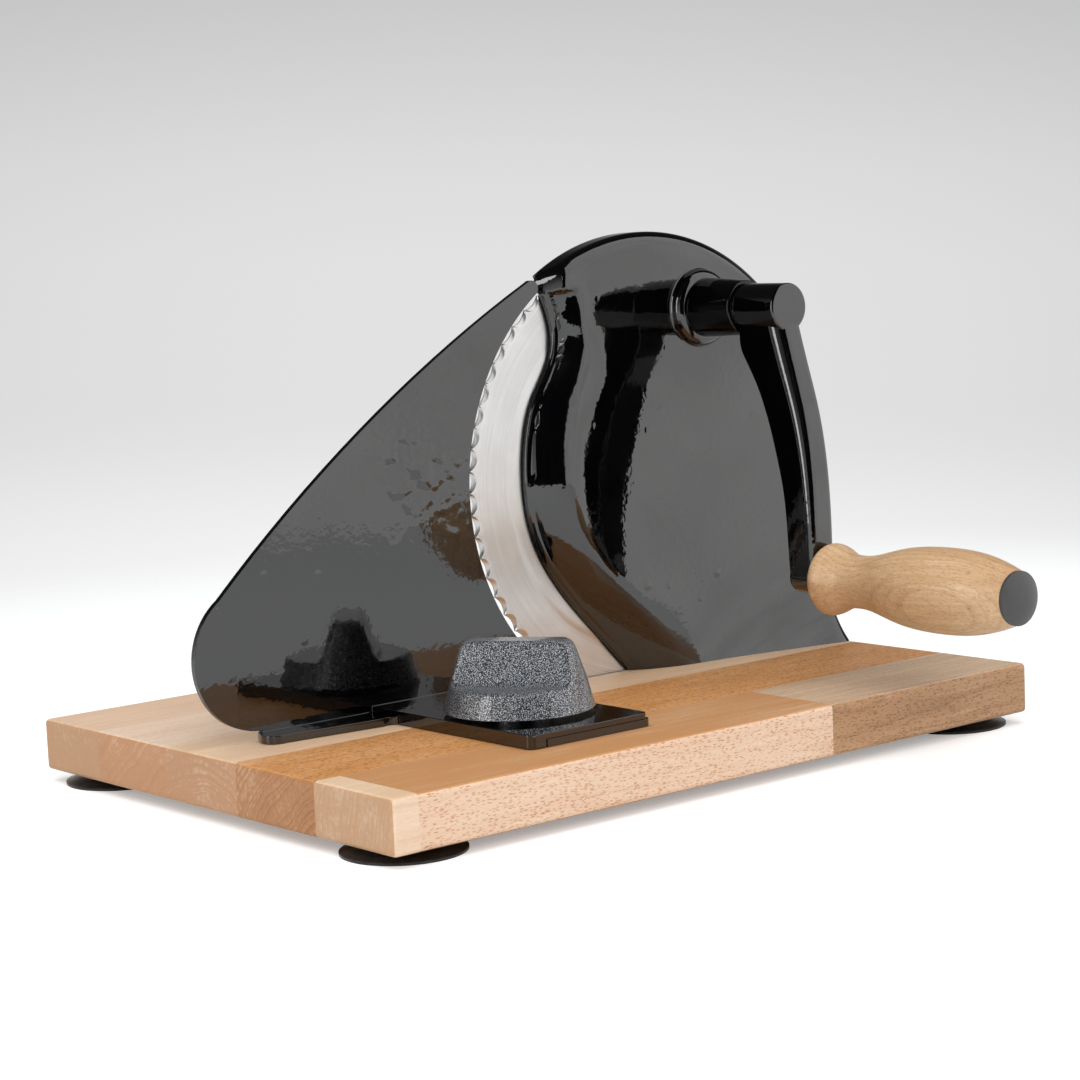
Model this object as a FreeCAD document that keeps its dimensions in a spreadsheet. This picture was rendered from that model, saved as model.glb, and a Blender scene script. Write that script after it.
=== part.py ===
import FreeCAD, Part
import Sketcher
import math
import os

# Hand-cranked bread slicer on a beech board.
# The document's frame: +Z up, the surface that the suction cups stand on is z = 0, and the origin is
# the centre of the whole slicer's footprint box. X runs along the board, the crank is on the -Y side.
# Below, every place is first stated from the centre of the board's top face, and then moved by
# BOARD_X, BOARD_Y and BOARD_TOP into the document's frame.

Vector = FreeCAD.Vector
doc = FreeCAD.newDocument("bread_slicer")

# ---------------------------------------------------------------- driving dimensions (millimetres)

sheet = doc.addObject("Spreadsheet::Sheet", "Dim")
DRIVING = [
    ("board_long", 350, "board along X"),
    ("board_wide", 250, "board along Y"),
    ("board_thick", 22, "board thickness"),
    ("board_round", 2, "rounding of the board's edges"),
    ("cup_radius", 24.4, "suction cup"),
    ("cup_height", 4.9, "clear height under the board"),
    ("cup_inset_x", 22.8, "cup centre from the board's end"),
    ("cup_inset_y", 25, "cup centre from the board's long side"),
    ("blade_x", 73.2, "blade axis from the board's centre"),
    ("blade_up", 88.6, "blade axis above the board"),
    ("blade_radius", 101, "to the tips of the scallops"),
    ("blade_front", 8, "blade's near face from the board's centre line"),
    ("blade_thick", 1.3, "sheet of the blade"),
    ("scallop_count", 66, "scallops round the edge"),
    ("scallop_deep", 1.6, "depth of one scallop"),
    ("gear_module", 1.5, "module of both gears"),
    ("blade_teeth", 80, "teeth of the blade's gear"),
    ("pinion_teeth", 23, "teeth of the pinion"),
    ("gear_thick", 4, "width of the blade's gear"),
    ("gear_play", 0.14, "backlash on each flank"),
    ("crank_lean", 20.24, "lean of the line from the blade axis to the crank axis, degrees"),
    ("crank_radius", 118, "crank axis to grip axis"),
    ("face_front", -3, "housing's face from the board's centre line"),
    ("rim_x", 71.5, "centre of the housing's rim from the board's centre"),
    ("rim_up", 89.8, "centre of the housing's rim above the board"),
    ("rim_radius", 106.6, "housing's rim"),
    ("rim_back", 11, "back edge of the rim"),
    ("wall", 3, "housing's wall"),
    ("boss_end", -34, "end of the crank boss"),
    ("hub_end", -60, "end of the arm's hub"),
    ("shaft_radius", 6, "crank shaft and blade axle"),
    ("arm_front", -77, "front of the arm at the grip"),
    ("arm_wide", 14, "arm along X"),
    ("grip_start", -78.4, "nose of the grip"),
    ("grip_end", -184, "far end of the wood"),
    ("grip_reach", -188, "top of the end cap's dome"),
    ("fence_front", 4.6, "fence plate's near face"),
    ("fence_thick", 2.6, "fence plate"),
    ("fence_gap", 3, "gap from the scallop tips to the fence"),
    ("fence_travel", 18, "thickest slice"),
    ("foot_left", -88, "foot plate's left side"),
    ("foot_right", -26, "foot plate's right side"),
    ("foot_front", -98.7, "foot plate's front side"),
    ("guide_left", -79.5, "guide plate's left side"),
    ("guide_right", -24.5, "guide plate's right side"),
    ("guide_back", -14, "guide plate's back side"),
    ("guide_thick", 3.2, "guide plate"),
    ("foot_thick", 2.4, "foot plate"),
    ("slide_play", 0.2, "gap of the sliding faces"),
    ("knob_x", -56.5, "clamp knob"),
    ("knob_y", -54, "clamp knob"),
    ("knob_radius", 31, "knob's base"),
    ("knob_height", 28, "knob over all"),
    ("knob_turned", -53, "direction of the knob's wing, degrees"),
    ("stud_radius", 3.9, "clamp stud"),
]
for row, (alias, value, meaning) in enumerate(DRIVING, start=1):
    sheet.set(f"A{row}", meaning)
    sheet.set(f"B{row}", str(value))
    sheet.setAlias(f"B{row}", alias)
doc.recompute()


def number(expression):
    """The value of an expression on the sheet, for shapes that Part's own functions make."""
    value = sheet.evalExpression(expression)
    return float(getattr(value, "Value", value))


# Where the centre of the board's top face lies in the document's frame. The cups reach past the
# board's ends, the rim reaches past it on the right and the grip in front.
LEFT_REACH = "(Dim.board_long / 2 - Dim.cup_inset_x + Dim.cup_radius)"
BOARD_X = f"(({LEFT_REACH} - Dim.rim_x - Dim.rim_radius) / 2)"
BOARD_Y = "(-Dim.grip_reach - Dim.board_wide / 2) / 2"
BOARD_TOP = "(Dim.cup_height + Dim.board_thick)"

# The crank axis follows from the gears: their centre distance and the lean of the line of centres.
GEAR_DISTANCE = "(Dim.gear_module * (Dim.blade_teeth + Dim.pinion_teeth) / 2)"
CRANK_X = f"(Dim.blade_x + {GEAR_DISTANCE} * sin(Dim.crank_lean))"
CRANK_UP = f"(Dim.blade_up + {GEAR_DISTANCE} * cos(Dim.crank_lean))"
GRIP_UP = f"({CRANK_UP} - Dim.crank_radius)"

ALONG_BACK = FreeCAD.Rotation(Vector(1, 0, 0), -90)   # a piece made along +Z points along +Y
ALONG_FRONT = FreeCAD.Rotation(Vector(1, 0, 0), 90)   # a piece made along +Z points along -Y

nodes = []


# ---------------------------------------------------------------- helpers for the document

def finish(piece, name, x="0", y="0", z="0", rotation=None):
    """Names a finished sub-part, puts it in its place and remembers it for writing."""
    piece.Label = name
    if rotation is not None:
        piece.Placement = FreeCAD.Placement(Vector(), rotation)
    piece.setExpression(".Placement.Base.x", f"{BOARD_X} + {x}")
    piece.setExpression(".Placement.Base.y", f"{BOARD_Y} + {y}")
    piece.setExpression(".Placement.Base.z", f"{BOARD_TOP} + {z}")
    nodes.append(piece)
    return piece


def feature(name, shape):
    """A Part::Feature that holds a shape made by Part's own functions."""
    piece = doc.addObject("Part::Feature", name)
    piece.Shape = shape
    return piece


def new_sketch(body, name, role, offset=None):
    """A sketch on one of the body's own origin planes, moved along its normal by an expression."""
    plane = next(item for item in body.Origin.OriginFeatures if item.Role == role)
    sketch = body.newObject("Sketcher::SketchObject", name)
    sketch.AttachmentSupport = (plane, [""])
    sketch.MapMode = "FlatFace"
    if offset is not None:
        sketch.setExpression("AttachmentOffset.Base.z", offset)
    return sketch


def pin_point(sketch, geometry, vertex, across, up):
    """Binds one sketch point to two expressions, measured from the sketch's origin."""
    if across == "0":
        sketch.addConstraint(Sketcher.Constraint("PointOnObject", geometry, vertex, -2))
    else:
        index = sketch.addConstraint(
            Sketcher.Constraint("DistanceX", -1, 1, geometry, vertex, number(across)))
        sketch.setExpression(f"Constraints[{index}]", across)
    if up == "0":
        sketch.addConstraint(Sketcher.Constraint("PointOnObject", geometry, vertex, -1))
    else:
        index = sketch.addConstraint(
            Sketcher.Constraint("DistanceY", -1, 1, geometry, vertex, number(up)))
        sketch.setExpression(f"Constraints[{index}]", up)


def outline(sketch, corners):
    """A closed outline. A corner is (across, up), or (across, up, via) with an arc to the next one."""
    points = [Vector(number(corner[0]), number(corner[1]), 0) for corner in corners]
    count = len(points)
    ends = []
    for index, corner in enumerate(corners):
        start = points[index]
        stop = points[(index + 1) % count]
        if len(corner) == 3:
            via = Vector(number(corner[2][0]), number(corner[2][1]), 0)
            sketch.addGeometry(Part.Arc(start, via, stop), False)
        else:
            sketch.addGeometry(Part.LineSegment(start, stop), False)
        forward = sketch.getPoint(index, 1).distanceToPoint(start) < 1e-6
        ends.append((1, 2) if forward else (2, 1))
    for index in range(count):
        following = (index + 1) % count
        sketch.addConstraint(
            Sketcher.Constraint("Coincident", index, ends[index][1], following, ends[following][0]))
    for index, corner in enumerate(corners):
        pin_point(sketch, index, ends[index][0], corner[0], corner[1])


def circles(sketch, centres, radius):
    """Circles of one radius round the given centres."""
    for index, (across, up) in enumerate(centres):
        centre = Vector(number(across), number(up), 0)
        sketch.addGeometry(Part.Circle(centre, Vector(0, 0, 1), number(radius)), False)
        pin_point(sketch, index, 3, across, up)
        constraint = sketch.addConstraint(Sketcher.Constraint("Radius", index, number(radius)))
        sketch.setExpression(f"Constraints[{constraint}]", radius)


def new_body(name):
    return doc.addObject("PartDesign::Body", name)


def pad(body, name, role, corners, length, offset=None, reverse=False):
    sketch = new_sketch(body, name + "_outline", role, offset)
    outline(sketch, corners)
    solid = body.newObject("PartDesign::Pad", name)
    solid.Profile = sketch
    solid.setExpression("Length", length)
    solid.Reversed = reverse
    return solid


def pocket(body, name, role, length, corners=None, centres=None, radius=None, offset=None,
           reverse=False):
    """A pocket with a straight outline, or one of round holes. It cuts against the plane's normal."""
    sketch = new_sketch(body, name + "_outline", role, offset)
    if corners is not None:
        outline(sketch, corners)
    else:
        circles(sketch, centres, radius)
    cut = body.newObject("PartDesign::Pocket", name)
    cut.Profile = sketch
    cut.setExpression("Length", length)
    cut.Reversed = reverse
    return cut


def turned(name, corners):
    """A turned piece: corners are (radius, height) pairs of its half section, turned about Z."""
    body = new_body(name)
    sketch = new_sketch(body, name + "_section", "XZ_Plane")
    outline(sketch, corners)
    solid = body.newObject("PartDesign::Revolution", name + "_turned")
    solid.Profile = sketch
    solid.ReferenceAxis = (sketch, ["V_Axis"])
    solid.Angle = 360
    return body


def group(name, piece, places):
    """Copies of one finished small piece, held as separate solids in one object."""
    doc.recompute()
    solids = []
    for x, y, z in places:
        solid = piece.Shape.copy()
        solid.translate(Vector(number(x), number(y), number(z)))
        solids.append(solid)
    return feature(name, Part.makeCompound(solids))


# ---------------------------------------------------------------- board and suction cups

CUP_X = "(Dim.board_long / 2 - Dim.cup_inset_x)"
CUP_Y = "(Dim.board_wide / 2 - Dim.cup_inset_y)"
CUPS = {
    "cup_front_left": (f"-{CUP_X}", f"-{CUP_Y}"),
    "cup_front_right": (CUP_X, f"-{CUP_Y}"),
    "cup_rear_left": (f"-{CUP_X}", CUP_Y),
    "cup_rear_right": (CUP_X, CUP_Y),
}
CUP_SCREW_RADIUS = "2"
CUP_SCREW_DEPTH = "12"
CUP_SCREW_SEAT = "2.8"      # height of the screw head's seat above the table
CUP_SINK = "4.6"            # radius of the recess for the head

# Three machine screws come up through the board into lugs of the housing.
HOUSING_SCREWS = [("112", "2"), ("150", "-4.5"), ("169", "4")]
HOUSING_SCREW_RADIUS = "2"
HOUSING_SCREW_HEAD = "4"
LUG_RADIUS = 5
LUG_HEIGHT = 13
LUG_BORE = 11

# Four wood screws hold the guide plate, clear of the foot's slot.
GUIDE_SCREWS = [("-72", "-90"), ("-36", "-90"), ("-72", "-22"), ("-36", "-22")]
GUIDE_SCREW_RADIUS = "2"
GUIDE_SCREW_HEAD = "3.8"
GUIDE_SCREW_LONG = "16"

STUD_HEAD_RADIUS = "10"
STUD_HEAD_THICK = "3.5"

SLOT_NEAR = "(Dim.blade_front - 0.6)"
SLOT_FAR = "(Dim.blade_front + Dim.blade_thick + 2.6)"
SLOT_HALF = "(sqrt(Dim.blade_radius ^ 2 - Dim.blade_up ^ 2) + 3)"

board = new_body("base_board")
half_long = "Dim.board_long / 2"
half_wide = "Dim.board_wide / 2"
slab = pad(board, "board_slab", "XY_Plane",
           [(f"-{half_long}", f"-{half_wide}"), (half_long, f"-{half_wide}"),
            (half_long, half_wide), (f"-{half_long}", half_wide)],
           "Dim.board_thick", reverse=True)
doc.recompute()
rounding = board.newObject("PartDesign::Fillet", "board_rounding")
rounding.Base = (slab, [f"Edge{i + 1}" for i in range(len(slab.Shape.Edges))])
rounding.setExpression("Radius", "Dim.board_round")
board.Tip = rounding
doc.recompute()
pocket(board, "blade_slot", "XY_Plane", "Dim.board_thick + 1",
       corners=[(f"Dim.blade_x - {SLOT_HALF}", SLOT_NEAR), (f"Dim.blade_x + {SLOT_HALF}", SLOT_NEAR),
                (f"Dim.blade_x + {SLOT_HALF}", SLOT_FAR), (f"Dim.blade_x - {SLOT_HALF}", SLOT_FAR)])
pocket(board, "stud_bore", "XY_Plane", "Dim.board_thick + 1",
       centres=[("Dim.knob_x", "Dim.knob_y")], radius="Dim.stud_radius")
pocket(board, "guide_pilots", "XY_Plane", f"{GUIDE_SCREW_LONG} - Dim.guide_thick",
       centres=GUIDE_SCREWS, radius=GUIDE_SCREW_RADIUS)
pocket(board, "housing_bores", "XY_Plane", "Dim.board_thick + 1",
       centres=HOUSING_SCREWS, radius=HOUSING_SCREW_RADIUS)
pocket(board, "stud_recess", "XY_Plane", STUD_HEAD_THICK, offset="-Dim.board_thick",
       centres=[("Dim.knob_x", "Dim.knob_y")], radius=STUD_HEAD_RADIUS, reverse=True)
pocket(board, "screw_recesses", "XY_Plane", "2.5", offset="-Dim.board_thick",
       centres=HOUSING_SCREWS, radius=HOUSING_SCREW_HEAD, reverse=True)
pocket(board, "cup_pilots", "XY_Plane", CUP_SCREW_DEPTH, offset="-Dim.board_thick",
       centres=list(CUPS.values()), radius=CUP_SCREW_RADIUS, reverse=True)
finish(board, "base_board")

# A cup stands on its flat rim; the hollow under it and the recess for the screw's head are turned.
for name, (x, y) in CUPS.items():
    cup = turned(name, [
        (CUP_SCREW_RADIUS, "Dim.cup_height"), ("9", "Dim.cup_height"), ("9", "Dim.cup_height - 1.4"),
        ("15", "2.9"), ("21", "1.9"), ("Dim.cup_radius", "1"), ("Dim.cup_radius", "0"),
        ("Dim.cup_radius - 1.6", "0"), ("18", "0.8"), ("11", "1.3"), (CUP_SINK, "1.4"),
        (CUP_SINK, CUP_SCREW_SEAT), (CUP_SCREW_RADIUS, CUP_SCREW_SEAT)])
    finish(cup, name, x, y, "-(Dim.cup_height + Dim.board_thick)")

cup_screw = turned("cup_screw_pattern", [
    ("0", "1.6"), ("4.4", "1.6"), ("4.4", CUP_SCREW_SEAT), (CUP_SCREW_RADIUS, CUP_SCREW_SEAT),
    (CUP_SCREW_RADIUS, "Dim.cup_height + 10.5"), ("0", "Dim.cup_height + 11.5")])
finish(group("cup_screws", cup_screw,
             [(x, y, "-(Dim.cup_height + Dim.board_thick)") for x, y in CUPS.values()]), "cup_screws")


# ---------------------------------------------------------------- housing: one cast shell

# Its left edge is an S in front of the blade: these points (X, height) run up from the board.
S_EDGE = [(57, 0), (35, 23), (15.5, 45.5), (4.6, 66), (0.9, 88), (2.2, 108), (7.5, 125.5),
          (15.5, 138.5), (19.6, 151), (18.3, 161), (16.6, 166), (13.9, 172)]
RIM_START = 122.6     # degrees, where the rim begins above the S edge
RIM_STOP = -1.2       # degrees, where the rim runs on as a straight, tangent side
ROLL_RADIUS = 35      # the face bends back towards the blade on this radius
ROLL_WIDE = 23.4      # distance from the S edge at which it starts to bend
ROLL_NARROW = 0.35    # the roll's width at the top of the S, as a share of its full width
ROLL_FULL = 125       # height up to which the roll has its full width
FLARE_START = 94      # X from which the foot comes forward
FLARE_SOFT = 20       # length over which it starts
FLARE_SLOPE = 0.215   # how fast it comes forward along the board
FLARE_HIGH = 18       # height over which the flare dies out
BLADE_CLEAR = 0.8     # gap in front of the blade
BLADE_ROOM = 1.5      # gap outside the scallop tips
HOLLOW_START = 120.3  # degrees, where the hollow under the rim begins
HOLLOW_LEFT = [(40, 3), (-12, 60), (-12, 147)]    # its corners (X, height) left of the S edge
FOOT_OPENING = (66, 172)    # X between which the hollow is open to the board
FOOT_OPENING_HIGH = 4
FAR_FRONT = -60       # Y well in front of the casting, where its blocks start
DEEP = 100            # more than the depth of any block
FACE_ROWS = range(-14, 210, 7)       # heights of the points that the face's surface goes through
FACE_COLUMNS = range(-14, 197, 6)    # X of those points
BOSS_ROOT = 13.2      # radius of the crank boss at the face
BOSS_TIP = 12         # and at its end
COLLAR_RADIUS = 17    # collar round the boss
COLLAR_PROUD = 5      # its height in front of the face
COLLAR_SUNK = 2.5     # its part inside the face
COLLAR_ROUND = 2.8
SEAT_RADIUS = 15      # the axle's seat inside the shell
SEAT_BACK = 1.6
AXLE_SUNK = 1.2       # the axle starts this far behind the face
BUSH_RADIUS = "(Dim.shaft_radius + 2)"


def s_curve():
    curve = Part.BSplineCurve()
    curve.interpolate([Vector(x, 0, z) for x, z in S_EDGE])
    return curve


def rim_and_side(radius, start, low):
    """The rim's arc from a start angle, and its straight, tangent side down to a height."""
    centre = Vector(number("Dim.rim_x"), 0, number("Dim.rim_up"))

    def on_rim(degrees):
        angle = math.radians(degrees)
        return centre + Vector(radius * math.cos(angle), 0, radius * math.sin(angle))

    stop = on_rim(RIM_STOP)
    foot = Vector(stop.x + (stop.z - low) * math.tan(math.radians(RIM_STOP)), 0, low)
    arc = Part.Arc(on_rim(start), on_rim((start + RIM_STOP) / 2), stop).toShape()
    return on_rim(start), foot, [arc, Part.makeLine(stop, foot)]


def front_face(radius, start, corners, left_edge=None):
    """A face in the XZ plane: rim and side, then straight lines through the corners."""
    first, last, edges = rim_and_side(radius, start, corners[0].z)
    points = [last] + corners
    edges += [Part.makeLine(points[i], points[i + 1]) for i in range(len(points) - 1)]
    if left_edge is None:
        edges.append(Part.makeLine(points[-1], first))
    else:
        top = Vector(S_EDGE[-1][0], 0, S_EDGE[-1][1])
        edges += [left_edge, Part.makeLine(top, first)]
    return Part.Face(Part.Wire(Part.__sortEdges__(edges)))


def roll_depth(distance):
    """How far the face falls back at a distance from the S edge: a round roll, straight beyond it."""
    along = min(max(ROLL_WIDE - distance, 0), ROLL_WIDE)
    depth = ROLL_RADIUS - math.sqrt(ROLL_RADIUS ** 2 - along ** 2)
    slope = ROLL_WIDE / math.sqrt(ROLL_RADIUS ** 2 - ROLL_WIDE ** 2)
    return depth + slope * max(-distance, 0)


def face_depth(x, z, edge_x, edge_lean):
    """Y of the housing's face: flat, flared at the foot and rolled back beside the S edge."""
    start = x - FLARE_START
    ramp = (start + math.hypot(start, FLARE_SOFT)) / 2
    flare = -FLARE_SLOPE * ramp * math.exp(-z / FLARE_HIGH)
    high = (z - ROLL_FULL) / (S_EDGE[-1][1] - ROLL_FULL)
    width = 1 - (1 - ROLL_NARROW) * min(max(high, 0), 1)
    distance = (x - edge_x) / math.hypot(1, edge_lean)
    return number("Dim.face_front") + flare + roll_depth(distance / width)


def face_block(shift):
    """Everything behind the housing's face, moved back by shift."""
    curve = s_curve()
    low = S_EDGE[0][1]
    high = S_EDGE[-1][1]
    rows = []
    for z in FACE_ROWS:
        level = min(max(z, low + 0.01), high - 0.01)
        plane = Part.Plane(Vector(0, 0, level), Vector(0, 0, 1))
        crossing = curve.intersect(plane)[0][0]
        spot = Vector(crossing.X, crossing.Y, crossing.Z)
        along = curve.tangent(curve.parameter(spot))[0]
        rows.append((z, spot.x, along.x / along.z))
    grid = []
    for x in FACE_COLUMNS:
        grid.append([Vector(x, face_depth(x, z, edge_x, lean) + shift, z)
                     for z, edge_x, lean in rows])
    surface = Part.BSplineSurface()
    surface.interpolate(grid)
    return surface.toShape().extrude(Vector(0, DEEP, 0))


def make_housing():
    blade_x = number("Dim.blade_x")
    blade_up = number("Dim.blade_up")
    crank_x = number(CRANK_X)
    crank_up = number(CRANK_UP)
    wall = number("Dim.wall")
    face = number("Dim.face_front")
    back = number("Dim.rim_back")
    blade_front = number("Dim.blade_front")
    shaft = number("Dim.shaft_radius")
    forward = Vector(0, -1, 0)
    backward = Vector(0, 1, 0)

    # Solid casting: outline and face, with the boss and collar of the crank bush.
    rim = number("Dim.rim_radius")
    start = Vector(S_EDGE[0][0], 0, S_EDGE[0][1])
    cast = front_face(rim, RIM_START, [start], s_curve().toShape())
    cast = cast.extrude(Vector(0, back - FAR_FRONT, 0))
    cast.translate(Vector(0, FAR_FRONT, 0))
    cast = cast.common(face_block(0)).Solids[0]
    root = face + COLLAR_SUNK
    boss = Part.makeCone(BOSS_ROOT, BOSS_TIP, root - number("Dim.boss_end"),
                         Vector(crank_x, root, crank_up), forward)
    collar = Part.makeCylinder(COLLAR_RADIUS, COLLAR_SUNK + COLLAR_PROUD,
                               Vector(crank_x, root, crank_up), forward)
    collar_rim = [edge for edge in collar.Edges
                  if edge.BoundBox.YMax < root - COLLAR_PROUD and edge.BoundBox.YLength < 0.01]
    collar = collar.makeFillet(COLLAR_ROUND, collar_rim)
    cast = cast.fuse(boss).Solids[0].fuse(collar).Solids[0]

    # Bores for the bush, the axle and the screws.
    bores = [Part.makeCylinder(number(BUSH_RADIUS), DEEP, Vector(crank_x, DEEP / 2, crank_up), forward),
             Part.makeCylinder(shaft, DEEP, Vector(blade_x, face + AXLE_SUNK, blade_up), backward)]
    bores += [Part.makeCylinder(float(HOUSING_SCREW_RADIUS), LUG_BORE, Vector(float(x), float(y), 0))
              for x, y in HOUSING_SCREWS]
    for bore in bores:
        cast = cast.cut(bore).Solids[0]

    # Nothing of it lies where the blade turns, except the rim outside the scallops.
    swept = Part.makeCylinder(number("Dim.blade_radius") + BLADE_ROOM, DEEP,
                              Vector(blade_x, blade_front - BLADE_CLEAR, blade_up), backward)
    cast = cast.cut(swept).Solids[0]

    # The hollow follows the rim and the face at the wall's thickness, is open at the back and at
    # the foot, and leaves the axle's seat and the screws' lugs standing. Beside the S edge it runs
    # out, because the face has rolled back to the blade there.
    beside = [Vector(x, 0, z) for x, z in HOLLOW_LEFT]
    hollow = front_face(rim - wall, HOLLOW_START, beside).extrude(Vector(0, DEEP, 0))
    hollow.translate(Vector(0, FAR_FRONT, 0))
    left, right = FOOT_OPENING
    opening = Part.makeBox(right - left, DEEP, 2 * FOOT_OPENING_HIGH,
                           Vector(left, FAR_FRONT, -FOOT_OPENING_HIGH))
    hollow = hollow.fuse(opening).removeSplitter()
    hollow = hollow.Solids[0].common(face_block(wall)).Solids[0]
    seat = Part.makeCylinder(SEAT_RADIUS, SEAT_BACK - (face + 1), Vector(blade_x, face + 1, blade_up),
                             backward)
    lugs = [Part.makeCylinder(LUG_RADIUS, LUG_HEIGHT, Vector(float(x), float(y), 0))
            for x, y in HOUSING_SCREWS]
    for kept in [seat] + lugs:
        hollow = hollow.cut(kept).Solids[0]
    return cast.cut(hollow).Solids[0]


housing = feature("blade_housing", make_housing())
finish(housing, "blade_housing")

housing_screw = turned("housing_screw_pattern", [
    ("0", "-Dim.board_thick"), (HOUSING_SCREW_HEAD, "-Dim.board_thick"),
    (HOUSING_SCREW_HEAD, "-Dim.board_thick + 2.5"), (HOUSING_SCREW_RADIUS, "-Dim.board_thick + 2.5"),
    (HOUSING_SCREW_RADIUS, "9.5"), ("0", "9.5")])
finish(group("housing_screws", housing_screw, [(x, y, "0") for x, y in HOUSING_SCREWS]),
       "housing_screws")

# ---------------------------------------------------------------- blade, its gear, hub and axle

HUB_RADIUS = "10"
HUB_FLANGE = "26"
HUB_START = "2"
HUB_STOP = "15"
AXLE_STOP = "15.2"
AXLE_START = f"(Dim.face_front + {AXLE_SUNK})"
THREAD = "3"
STEP_RADIUS = 81      # the stamped step of the blade
STEP_DEEP = 0.4


def ring_points(count, radius, phase=0.0):
    for index in range(count):
        angle = 2 * math.pi * (index + phase) / count
        yield Vector(radius * math.cos(angle), radius * math.sin(angle), 0)


def make_blade():
    """A stamped disc, turned about Z with its near face at z = 0, with a scalloped edge."""
    radius = number("Dim.blade_radius")
    thick = number("Dim.blade_thick")
    deep = number("Dim.scallop_deep")
    count = int(number("Dim.scallop_count"))
    bevel_start = radius - 8
    section = [(float(HUB_RADIUS), 0), (STEP_RADIUS - 1.5, 0), (STEP_RADIUS, STEP_DEEP),
               (bevel_start, STEP_DEEP), (radius + 1, STEP_DEEP + thick - 0.3),
               (radius + 1, STEP_DEEP + thick), (STEP_RADIUS - 0.4, STEP_DEEP + thick),
               (STEP_RADIUS - 1.9, thick), (float(HUB_RADIUS), thick)]
    points = [Vector(r, 0, z) for r, z in section]
    disc = Part.Face(Part.makePolygon(points + points[:1])).revolve(Vector(), Vector(0, 0, 1), 360)
    tips = list(ring_points(count, radius))
    valleys = list(ring_points(count, radius - deep, 0.5))
    arcs = [Part.Arc(tips[i], valleys[i], tips[(i + 1) % count]).toShape() for i in range(count)]
    cutter = Part.Face(Part.Wire(arcs)).extrude(Vector(0, 0, 6))
    cutter.translate(Vector(0, 0, -2))
    return disc.common(cutter)


def make_gear(teeth, bore, thick, phase, direction):
    """A spur gear with involute flanks. phase 0 puts a tooth in the direction (radians), 0.5 a gap."""
    module = number("Dim.gear_module")
    play = number("Dim.gear_play")
    pitch = module * teeth / 2
    tip = pitch + module * 0.96
    root = pitch - module * 1.25
    base = pitch * math.cos(math.radians(20))

    def involute(radius):
        angle = math.acos(min(1, base / radius))
        return math.tan(angle) - angle

    half_tooth = math.pi / (2 * teeth) - play / pitch
    flank = []
    start = max(base, root)
    for step in range(4):
        radius = start + (tip - start) * step / 3
        flank.append((radius, half_tooth + involute(pitch) - involute(radius)))
    points = []
    for tooth in range(teeth):
        middle = direction + 2 * math.pi * (tooth + phase) / teeth
        if root < base:
            points.append((root, middle - flank[0][1]))
        points.extend((radius, middle - turn) for radius, turn in flank)
        points.extend((radius, middle + turn) for radius, turn in reversed(flank))
        if root < base:
            points.append((root, middle + flank[0][1]))
    corners = [Vector(radius * math.cos(turn), radius * math.sin(turn), 0) for radius, turn in points]
    blank = Part.Face(Part.makePolygon(corners + corners[:1])).extrude(Vector(0, 0, thick))
    return blank.cut(Part.makeCylinder(bore, thick + 2, Vector(0, 0, -1)))


RIVET_RING = 18
GEAR_RIVET_RING = 45
GEAR_BORE = 30
RIVET_RADIUS = 2
RIVET_PLACES = (list(ring_points(4, RIVET_RING, 0.5)) + list(ring_points(6, GEAR_RIVET_RING)))


def with_rivet_holes(shape, places):
    for place in places:
        shape = shape.cut(Part.makeCylinder(RIVET_RADIUS, 40, place - Vector(0, 0, 20)))
    return shape


blade = feature("blade_disc", with_rivet_holes(make_blade(), RIVET_PLACES))
finish(blade, "blade_disc", "Dim.blade_x", "Dim.blade_front", "Dim.blade_up", ALONG_BACK)

# Piece coordinates turned by ALONG_BACK: local X stays X, local Y points down. The line of centres
# leans from the vertical by crank_lean, so its angle in the piece's own plane is lean - 90 degrees.
line_angle = math.radians(number("Dim.crank_lean") - 90)
blade_teeth = int(number("Dim.blade_teeth"))
pinion_teeth = int(number("Dim.pinion_teeth"))

blade_gear = make_gear(blade_teeth, GEAR_BORE, number("Dim.gear_thick"), 0.5, line_angle)
blade_gear = feature("blade_gear", with_rivet_holes(blade_gear, RIVET_PLACES[4:]))
finish(blade_gear, "blade_gear", "Dim.blade_x", "Dim.blade_front - Dim.gear_thick", "Dim.blade_up",
       ALONG_BACK)

hub = turned("blade_hub_turned", [
    ("Dim.shaft_radius + 0.05", HUB_START), (HUB_RADIUS, HUB_START),
    (HUB_RADIUS, "Dim.blade_front - Dim.gear_thick"),
    (HUB_FLANGE, "Dim.blade_front - Dim.gear_thick"), (HUB_FLANGE, "Dim.blade_front"),
    (HUB_RADIUS, "Dim.blade_front"), (HUB_RADIUS, HUB_STOP), ("Dim.shaft_radius + 0.05", HUB_STOP)])
doc.recompute()
hub = feature("blade_hub", with_rivet_holes(hub.Shape, RIVET_PLACES[:4]))
finish(hub, "blade_hub", "Dim.blade_x", "0", "Dim.blade_up", ALONG_BACK)

rivet = turned("rivet_pattern", [
    ("0", "-Dim.gear_thick"), (str(RIVET_RADIUS), "-Dim.gear_thick"),
    (str(RIVET_RADIUS), "Dim.blade_thick"), ("3.6", "Dim.blade_thick"),
    ("3.2", "Dim.blade_thick + 0.8"), ("1.8", "Dim.blade_thick + 1.3"), ("0", "Dim.blade_thick + 1.4")])
finish(group("blade_rivets", rivet, [(str(p.x), str(p.y), "0") for p in RIVET_PLACES]),
       "blade_rivets", "Dim.blade_x", "Dim.blade_front", "Dim.blade_up", ALONG_BACK)

axle = turned("blade_axle", [
    ("0", AXLE_START), ("Dim.shaft_radius", AXLE_START), ("Dim.shaft_radius", AXLE_STOP),
    (THREAD, AXLE_STOP), (THREAD, "4"), ("0", "4")])
finish(axle, "blade_axle", "Dim.blade_x", "0", "Dim.blade_up", ALONG_BACK)

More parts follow.
